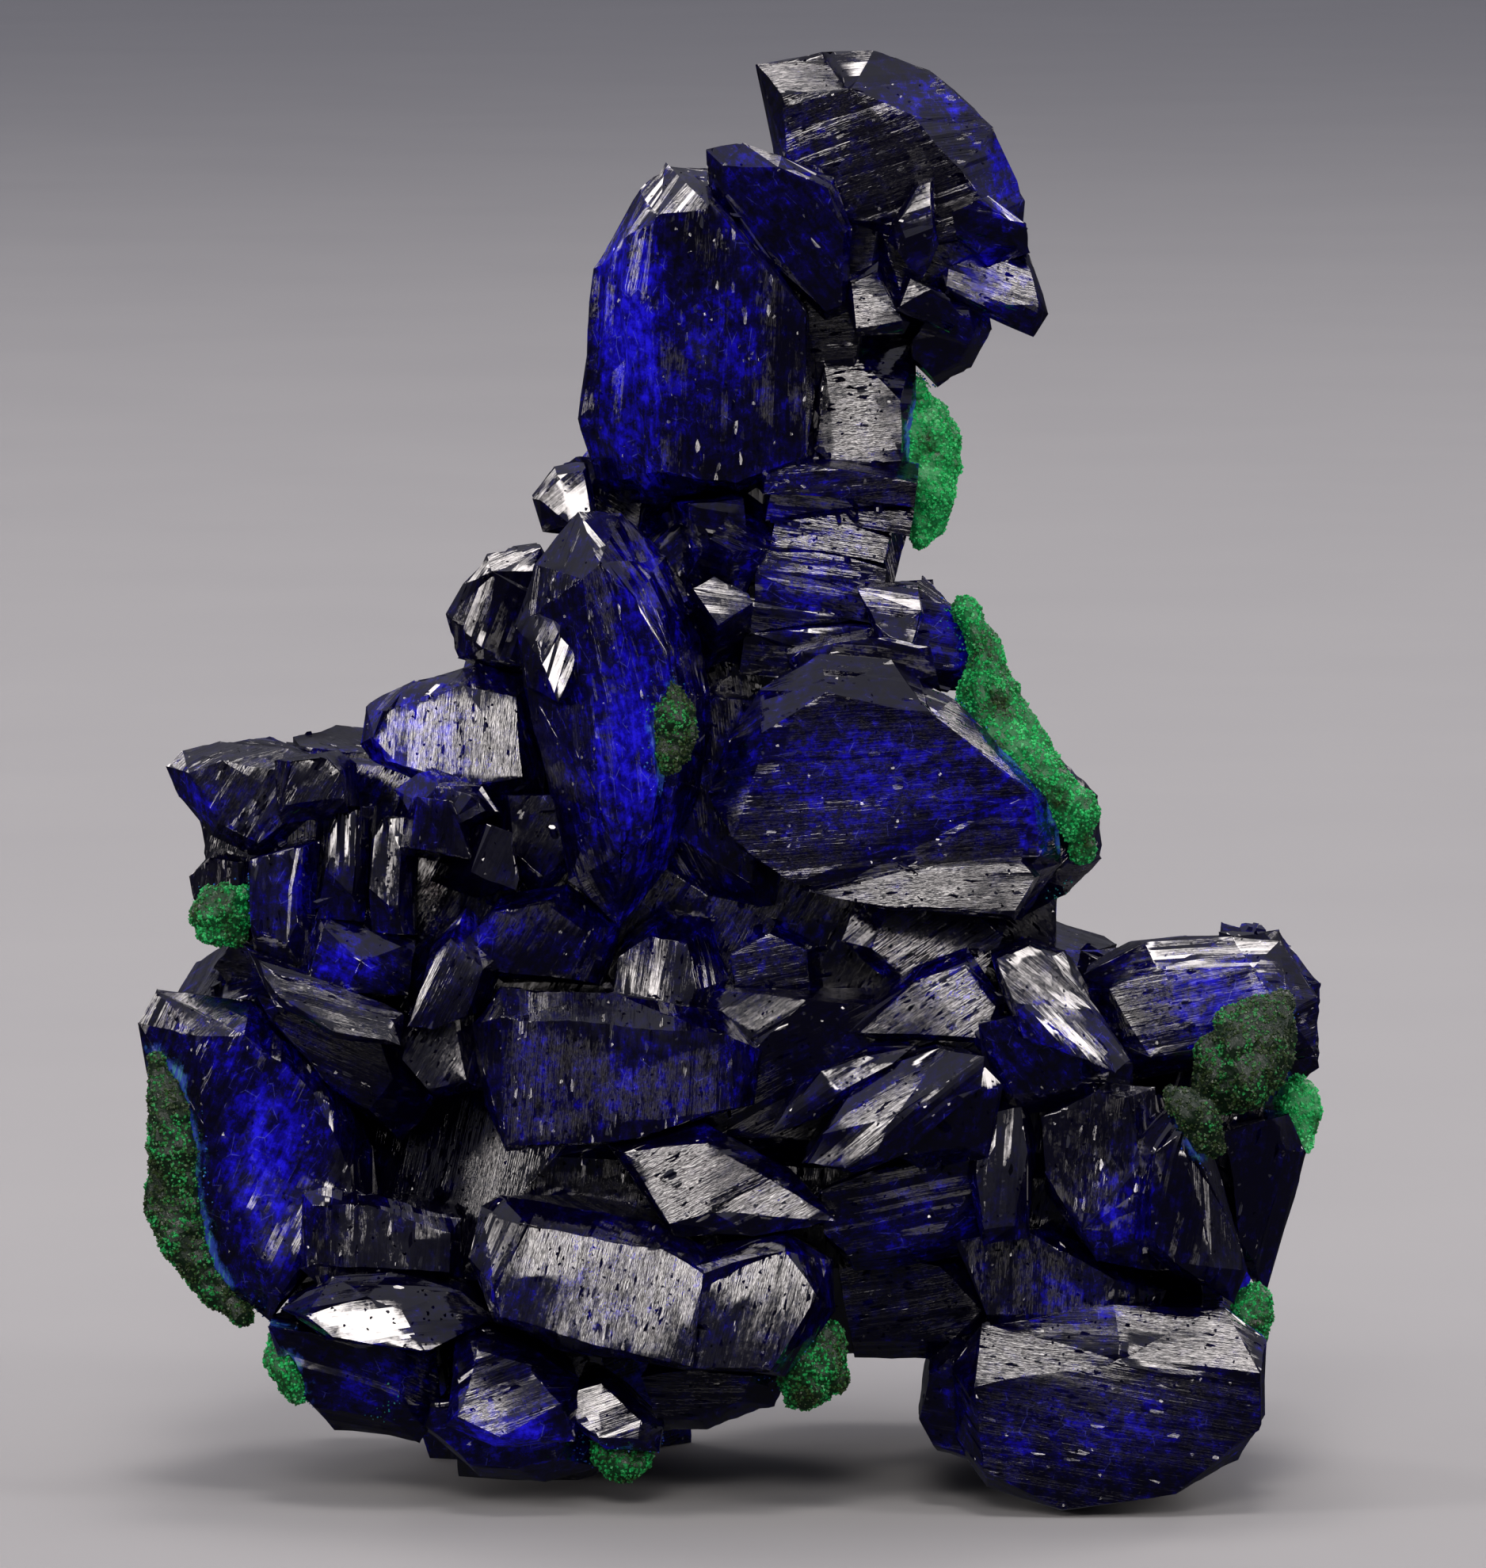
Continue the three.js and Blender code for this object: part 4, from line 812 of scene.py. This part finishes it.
def build_crust(index, node, azurite_points, azurite_triangles, material):
    """A granular crust that stands for one malachite solid, with loose grains round its rim."""
    random = seeded(index, CRUST_SEED)
    body = crust_surface(node)
    points = np.array([v.co for v in body.verts])
    triangles = np.array([[v.index for v in f.verts] for f in body.faces])
    grains = crust_grains(points, triangles, random)
    patches = [patch[1:] for patch in LOOSE_PATCHES if patch[0] == node.name]
    bed = bed_round(points, patches, azurite_points, azurite_triangles)
    add_loose_grains(grains, BVHTree.FromBMesh(body), patches, azurite_points, bed, random)
    body.free()
    faces = [tuple(t) for t in triangles] + [tuple(i + len(points) for i in f) for f in grains.faces]
    places = np.concatenate([points, np.array(grains.points)])
    places[:, 2] = np.maximum(places[:, 2], 0)
    crust = make_object(node.name + "_crust", places, faces, material)
    set_floats(crust.data, "rim", [0] * len(points) + grains.rims)
    # 0 on the crust's own surface, which the malachite paints in shade between the grains.
    set_floats(crust.data, "tip", [0] * len(points) + grains.tips)
    set_floats(crust.data, "tone", [CRUST_TONES[node.name]] * len(places))
    return crust


# Materials.


def new_material(name):
    """An empty material, with the graph that fills it."""
    material = bpy.data.materials.new(name)
    material.use_nodes = True
    return material, Graph(material, "Principled BSDF")


class Graph:
    """Short ways to add nodes to a material, a lamp or a world."""

    def __init__(self, owner, shader):
        self.tree = owner.node_tree
        self.shader = self.tree.nodes[shader]

    def add(self, kind, **settings):
        made = self.tree.nodes.new(kind)
        for key, value in settings.items():
            setattr(made, key, value)
        return made

    def join(self, source, target):
        self.tree.links.new(source, target)

    def fill(self, socket, value):
        if isinstance(value, bpy.types.NodeSocket):
            self.join(value, socket)
        else:
            socket.default_value = value

    def into(self, name, value):
        """Sets a value of the shader, or joins a node to it."""
        self.fill(self.shader.inputs[name], value)

    def attribute(self, name, output="Fac"):
        return self.add("ShaderNodeAttribute", attribute_name=name).outputs[output]

    def places(self):
        """Places on the object, in millimetres."""
        coordinates = self.add("ShaderNodeTexCoord").outputs["Object"]
        return self.vector("MULTIPLY", coordinates, (1 / MM,) * 3)

    def texture(self, kind, vector, values, **settings):
        """Outputs of a texture node at some places."""
        node = self.add(kind, **settings)
        self.fill(node.inputs["Vector"], vector)
        for name, value in values.items():
            node.inputs[name].default_value = value
        return node.outputs

    def noise(self, vector, scale, detail=3, roughness=0.55, dimensions="3D"):
        values = {"Scale": scale, "Detail": detail, "Roughness": roughness}
        return self.texture("ShaderNodeTexNoise", vector, values, noise_dimensions=dimensions)["Fac"]

    def flat_cells(self, vector, **settings):
        """Outputs of a flat cell pattern."""
        values = {"Scale": 1.0}
        return self.texture("ShaderNodeTexVoronoi", vector, values, voronoi_dimensions="2D", **settings)

    def cracks(self, vector):
        """Distance to the nearest border of a flat cell pattern."""
        return self.flat_cells(vector, feature="DISTANCE_TO_EDGE")["Distance"]

    def cells(self, vector):
        """A random colour for each cell of a flat cell pattern, and one part of it."""
        colour = self.flat_cells(vector)["Color"]
        parts = self.add("ShaderNodeSeparateColor")
        self.join(colour, parts.inputs[0])
        return colour, parts.outputs["Red"]

    def vector(self, operation, a, b=(0, 0, 0)):
        node = self.add("ShaderNodeVectorMath", operation=operation)
        self.fill(node.inputs[0], a)
        self.fill(node.inputs[1], b)
        return node.outputs[0]

    def tilted(self, normal, colour, amount):
        """A normal turned aside by a random colour."""
        aside = self.vector("MULTIPLY", self.vector("SUBTRACT", colour, (0.5, 0.5, 0.5)), amount)
        return self.vector("NORMALIZE", self.vector("ADD", normal, aside))

    def math(self, operation, a, b=0.0):
        node = self.add("ShaderNodeMath", operation=operation)
        self.fill(node.inputs[0], a)
        self.fill(node.inputs[1], b)
        return node.outputs[0]

    def sum(self, *terms):
        """Sum of values, each with its weight."""
        products = [self.math("MULTIPLY", value, weight) for value, weight in terms]
        total = products[0]
        for product in products[1:]:
            total = self.math("ADD", total, product)
        return total

    def ramp(self, value, low, high, start=0.0, end=1.0):
        """Maps a range of a value onto another, with soft ends."""
        node = self.add("ShaderNodeMapRange", interpolation_type="SMOOTHSTEP")
        self.fill(node.inputs["Value"], value)
        node.inputs["From Min"].default_value = low
        node.inputs["From Max"].default_value = high
        node.inputs["To Min"].default_value = start
        node.inputs["To Max"].default_value = end
        return node.outputs[0]

    def colours(self, value, stops):
        node = self.add("ShaderNodeValToRGB")
        self.fill(node.inputs[0], value)
        elements = node.color_ramp.elements
        while len(elements) < len(stops):
            elements.new(0.5)
        for element, (place, colour) in zip(elements, stops):
            element.position = place
            element.color = (*colour, 1)
        return node.outputs[0]

    def mix(self, share, a, b):
        node = self.add("ShaderNodeMix", data_type="RGBA")
        self.fill(node.inputs["Factor"], share)
        for socket, value in zip([s for s in node.inputs if s.type == "RGBA"], (a, b)):
            self.fill(socket, value if isinstance(value, bpy.types.NodeSocket) else (*value, 1))
        return next(s for s in node.outputs if s.type == "RGBA")

    def bump(self, height, distance, strength=1.0):
        node = self.add("ShaderNodeBump")
        self.fill(node.inputs["Strength"], strength)
        node.inputs["Distance"].default_value = distance
        self.fill(node.inputs["Height"], height)
        return node.outputs[0]


# Patterns of the azurite: repeats in a millimetre, along and across the grain where there are two.
MOTTLE_SCALE = 1.1
CLOUD_SCALE = 0.15
STREAK_SCALE = (0.4, 2.6)
CRACK_SCALE = (0.55, 1.1)
CRACK_WIDTH = 0.03
LINE_SCALE = (0.35, 7.0)
FLAKE_SCALE = (1.5, 5.5)
FLAKE_SHARE = 0.45  # share of the flakes that are loose in the most scratched places
FLAKE_TILT = (0.03, 1.10)  # how far a flake is turned, in place and loose
SPARK_SCALE = (6.5, 6.5)
SPARK_LUCK = (0.982, 0.985)  # the few cells above this glint
SPARK_TILT = (0.02, 1.6)
LINE_DEPTH = 0.10 * MM
LINE_STRENGTH = (0.03, 0.38)  # on a clean facet and on a scratched one
TORN = 0.35  # how scratched that one is
BLUE_RANGE = (0.80, 1.32)  # from night blue to vivid blue
POWDER_RANGE = (1.32, 1.58)  # from bare glass to dust
GLOSS = (0.02, 0.14)  # least and greatest roughness of the bare glass
AZURITE_IOR = 1.73

NIGHT = (0.0008, 0.0004, 0.006)
NAVY = (0.002, 0.0008, 0.055)
ULTRAMARINE = (0.005, 0.002, 0.34)
VIVID = (0.016, 0.010, 0.86)
HAIRLINE = (0.10, 0.11, 0.55)
DUST_BLUE = (0.02, 0.07, 0.50)
DUST_TURQUOISE = (0.05, 0.28, 0.36)


def along_grain(g, scale):
    """Places on a facet, along and across its grain."""
    return g.vector("MULTIPLY", g.attribute("stria", "Vector"), (*scale, 0))


def azurite_body(g, places):
    """Colour of the glass, night blue to vivid blue, and how much dust of the crusts lies on it."""
    mottle = g.noise(places, MOTTLE_SCALE, detail=6, roughness=0.72)
    clouds = g.noise(places, CLOUD_SCALE, detail=2)
    streaks = g.noise(along_grain(g, STREAK_SCALE), 1.0, detail=4, roughness=0.65, dimensions="2D")
    depth = g.sum((mottle, 0.9), (streaks, 0.3), (g.attribute("blue"), 0.34), (clouds, 0.40))
    stops = [(0.0, NIGHT), (0.35, NAVY), (0.72, ULTRAMARINE), (1.0, VIVID)]
    blue = g.colours(g.ramp(depth, *BLUE_RANGE), stops)
    crack = g.ramp(g.cracks(along_grain(g, CRACK_SCALE)), 0.0, CRACK_WIDTH, 1.0, 0.0)
    broken = g.ramp(g.noise(places, 0.8, detail=2), 0.50, 0.62)
    veins = g.math("MULTIPLY", g.math("MULTIPLY", crack, broken), g.ramp(depth, 0.85, 1.2, 0.0, 0.7))
    blue = g.mix(veins, blue, HAIRLINE)
    powder = g.sum((g.noise(places, 0.35, detail=2), 1.1), (mottle, 0.6), (g.attribute("dust"), 0.8))
    powder = g.ramp(powder, *POWDER_RANGE, 0.0, 0.9)
    tint = g.mix(g.ramp(streaks, 0.50, 0.64), DUST_BLUE, DUST_TURQUOISE)
    return g.mix(powder, blue, tint), powder


def azurite_normal(g, places):
    """Fine lines along the grain, loose flakes in scratched places, and a few sparks."""
    lines = g.noise(along_grain(g, LINE_SCALE), 1.0, detail=3, roughness=0.6, dimensions="2D")
    torn = g.attribute("torn")
    normal = g.bump(lines, LINE_DEPTH, g.ramp(torn, 0.0, TORN, *LINE_STRENGTH))
    flakes, chance = g.cells(along_grain(g, FLAKE_SCALE))
    clusters = g.math("MULTIPLY", g.ramp(g.noise(places, 0.42, detail=2), 0.40, 0.68), FLAKE_SHARE)
    loose = g.math("GREATER_THAN", g.math("MULTIPLY", clusters, torn), chance)
    normal = g.tilted(normal, flakes, g.ramp(loose, 0.0, 1.0, *FLAKE_TILT))
    sparks, luck = g.cells(along_grain(g, SPARK_SCALE))
    return g.tilted(normal, sparks, g.ramp(luck, *SPARK_LUCK, *SPARK_TILT))


def azurite_material():
    material, g = new_material("azurite")
    places = g.places()
    colour, powder = azurite_body(g, places)
    g.into("Base Color", colour)
    g.into("Normal", azurite_normal(g, places))
    gloss = g.ramp(g.noise(places, 0.9, detail=3), 0.40, 0.75, *GLOSS)
    g.into("Roughness", g.sum((gloss, 1), (powder, 0.5)))
    g.into("IOR", AZURITE_IOR)
    return material


# Patterns of the malachite: repeats in a millimetre.
PATCH_SCALE = 0.55
SPECK_SCALE = 4.2
PIT_SCALE = 9.0
PIT_DEPTH = 0.05 * MM
GREEN_RANGE = (0.62, 1.55)  # from the darkest green to pale green

# Darkest green of the random tone, and also the painted shade between the grains of a crust.
DARK_GREEN_AND_SHADE = (0.002, 0.014, 0.004)
OLIVE = (0.034, 0.060, 0.014)
LEAF_GREEN = (0.008, 0.22, 0.045)
EMERALD = (0.012, 0.60, 0.14)
PALE_GREEN = (0.22, 0.80, 0.34)
RIM_BLUE = (0.015, 0.05, 0.55)
TURQUOISE = (0.03, 0.28, 0.36)


def malachite_material():
    material, g = new_material("malachite")
    places = g.places()
    tone = g.attribute("tone")
    patches = g.noise(places, PATCH_SCALE, detail=4, roughness=0.6)
    specks = g.noise(places, SPECK_SCALE, detail=3, roughness=0.7)
    shade = g.sum((patches, 0.9), (specks, 0.7), (tone, 0.45))
    stops = [(0.0, DARK_GREEN_AND_SHADE), (0.30, OLIVE), (0.50, LEAF_GREEN), (0.78, EMERALD), (1.0, PALE_GREEN)]
    green = g.colours(g.ramp(shade, *GREEN_RANGE), stops)
    # Painted shade: the crust's surface between the grains and the inner sides of each grain are darkened,
    # brighter crusts less so.
    lit = g.ramp(g.sum((g.attribute("tip"), 1), (tone, 0.55)), 0.15, 0.95)
    green = g.mix(lit, DARK_GREEN_AND_SHADE, green)
    blue = g.mix(g.ramp(specks, 0.36, 0.52), TURQUOISE, RIM_BLUE)
    rim = g.ramp(g.sum((g.attribute("rim"), 1), (specks, 0.5)), 0.55, 0.95)
    g.into("Base Color", g.mix(rim, green, blue))
    g.into("Roughness", g.ramp(specks, 0.3, 0.7, 0.22, 0.60))
    pits = g.noise(places, PIT_SCALE, detail=3)
    g.into("Normal", g.bump(pits, PIT_DEPTH, 0.5))
    return material


FLOOR_TONES = ((0.39, 0.39, 0.395), (0.43, 0.43, 0.43))


def floor_material():
    material, g = new_material("pale_floor")
    mottle = g.noise(g.places(), 0.02, detail=3)
    g.into("Base Color", g.mix(mottle, *FLOOR_TONES))
    g.into("Roughness", 0.7)
    return material


# Studio.

FLOOR_FLAT = 2.6  # radius of the flat part of the floor
FLOOR_RIM = 5.5  # radius and height of its raised rim
FLOOR_RIM_HEIGHT = 2.4
FLOOR_RINGS = (0.02, 0.3, 1.0, FLOOR_FLAT)  # radii of the rings of its flat part
FLOOR_STEPS = 24  # rings of its rim
FLOOR_SIDES = 96
SKY_LIGHT = (0.03, 0.42)  # brightness of the surroundings at the horizon and overhead
SKY_RISE = 0.8  # height on the unit sphere where they are brightest
SKY_TINT = (0.86, 0.85, 1)
PANEL_FADE = (1.35, 0.2)  # brightness of a softbox in its middle and at its edges
PANEL_REACH = (0.1, 0.55)  # distances from its middle where it starts to fade and has faded

# Softboxes: azimuth (0 is the camera's side, 90 the right) and elevation in degrees, distance,
# width, height and brightness of the panel.
SOFTBOXES = {
    "front": (-4, 29, 1.5, 0.60, 0.46, 13),
    "high": (2, 66, 1.4, 0.46, 0.40, 12),
    "top": (180, 72, 1.3, 0.50, 0.45, 10),
    "left": (-66, 20, 1.4, 0.36, 0.70, 10),
    "right": (64, 24, 1.4, 0.36, 0.70, 10),
    "back_left": (-140, 30, 1.5, 0.45, 0.60, 6),
    "back_right": (140, 30, 1.5, 0.45, 0.60, 6),
    "low_card": (6, -2.8, 0.38, 0.16, 0.045, 0.7),
}
WARM_WHITE = (1.0, 0.93, 0.90)


def direction(azimuth, elevation):
    """Unit vector from the object towards an azimuth and elevation."""
    a, e = math.radians(azimuth), math.radians(elevation)
    return Vector((math.sin(a) * math.cos(e), -math.cos(a) * math.cos(e), math.sin(e)))


def build_floor():
    """A round pale floor that rises softly at its far rim."""
    profile = [(radius, 0.0) for radius in FLOOR_RINGS]
    for k in range(1, FLOOR_STEPS + 1):
        turn = math.pi / 2 * k / FLOOR_STEPS
        rise = (FLOOR_RIM - FLOOR_FLAT) * math.sin(turn)
        profile.append((FLOOR_FLAT + rise, FLOOR_RIM_HEIGHT * (1 - math.cos(turn))))
    points, faces = [(0, 0, 0)], []
    for ring, (radius, height) in enumerate(profile):
        for s in range(FLOOR_SIDES):
            turn = 2 * math.pi * s / FLOOR_SIDES
            points.append((radius * math.cos(turn), radius * math.sin(turn), height))
            outer = [1 + ring * FLOOR_SIDES + k % FLOOR_SIDES for k in (s, s + 1)]
            inner = [i - FLOOR_SIDES for i in reversed(outer)] if ring else [0]
            faces.append((*outer, *inner))
    floor = make_object("floor", points, faces, floor_material())
    for face in floor.data.polygons:
        face.use_smooth = True
    floor.visible_glossy = False  # the dark faces of the crystals stay dark


def fade_panel(lamp):
    """Lets a softbox grow darker towards its edges."""
    lamp.use_nodes = True
    g = Graph(lamp, "Emission")
    across = g.vector("SUBTRACT", g.add("ShaderNodeNewGeometry").outputs["Parametric"], (0.5, 0.5, 0))
    length = g.add("ShaderNodeVectorMath", operation="LENGTH")
    g.join(across, length.inputs[0])
    g.into("Strength", g.ramp(length.outputs["Value"], *PANEL_REACH, *PANEL_FADE))


def build_lights():
    target = Vector(CAMERA_TARGET)
    for name, (azimuth, elevation, distance, width, height, brightness) in SOFTBOXES.items():
        lamp = bpy.data.lights.new("softbox_" + name, "AREA")
        lamp.shape = "RECTANGLE"
        lamp.size = width
        lamp.size_y = height
        lamp.energy = brightness * math.pi * width * height
        lamp.color = WARM_WHITE
        fade_panel(lamp)
        holder = bpy.data.objects.new(lamp.name, lamp)
        holder.visible_camera = False
        towards = direction(azimuth, elevation)
        holder.location = target + towards * distance
        holder.rotation_euler = towards.to_track_quat("Z", "Y").to_euler()
        bpy.context.scene.collection.objects.link(holder)


def build_sky():
    """Dim surroundings that grow brighter overhead."""
    world = bpy.data.worlds.new("studio")
    world.use_nodes = True
    g = Graph(world, "Background")
    towards = g.add("ShaderNodeSeparateXYZ")
    g.join(g.add("ShaderNodeTexCoord").outputs["Generated"], towards.inputs[0])
    g.into("Strength", g.ramp(towards.outputs["Z"], 0.0, SKY_RISE, *SKY_LIGHT))
    g.into("Color", (*SKY_TINT, 1))
    bpy.context.scene.world = world


def build_camera():
    camera = bpy.data.cameras.new("camera")
    camera.sensor_width = SENSOR
    camera.lens = SENSOR * CAMERA_DISTANCE / VIEW_HEIGHT
    camera.clip_start = 0.05
    camera.clip_end = 50
    holder = bpy.data.objects.new("camera", camera)
    towards = direction(0, CAMERA_ELEVATION)
    holder.location = Vector(CAMERA_TARGET) + towards * CAMERA_DISTANCE
    holder.rotation_euler = towards.to_track_quat("Z", "Y").to_euler()
    bpy.context.scene.collection.objects.link(holder)
    bpy.context.scene.camera = holder


def build_specimen():
    azurite_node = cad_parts["azurite_cluster"]
    crusts = sorted(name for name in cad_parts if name.startswith("malachite"))
    nodes = [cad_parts[name] for name in crusts]
    cluster = build_azurite(azurite_node, nodes, azurite_material())
    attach(cluster, "root")
    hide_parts("azurite_cluster")
    points, triangles = welded(azurite_node)
    green = malachite_material()
    for index, name in enumerate(crusts):
        crust = build_crust(index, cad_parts[name], points, triangles, green)
        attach(crust, "root")
        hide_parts(name)


build_camera()
build_floor()
build_lights()
build_sky()
build_specimen()
bpy.context.scene.view_settings.view_transform = "Standard"
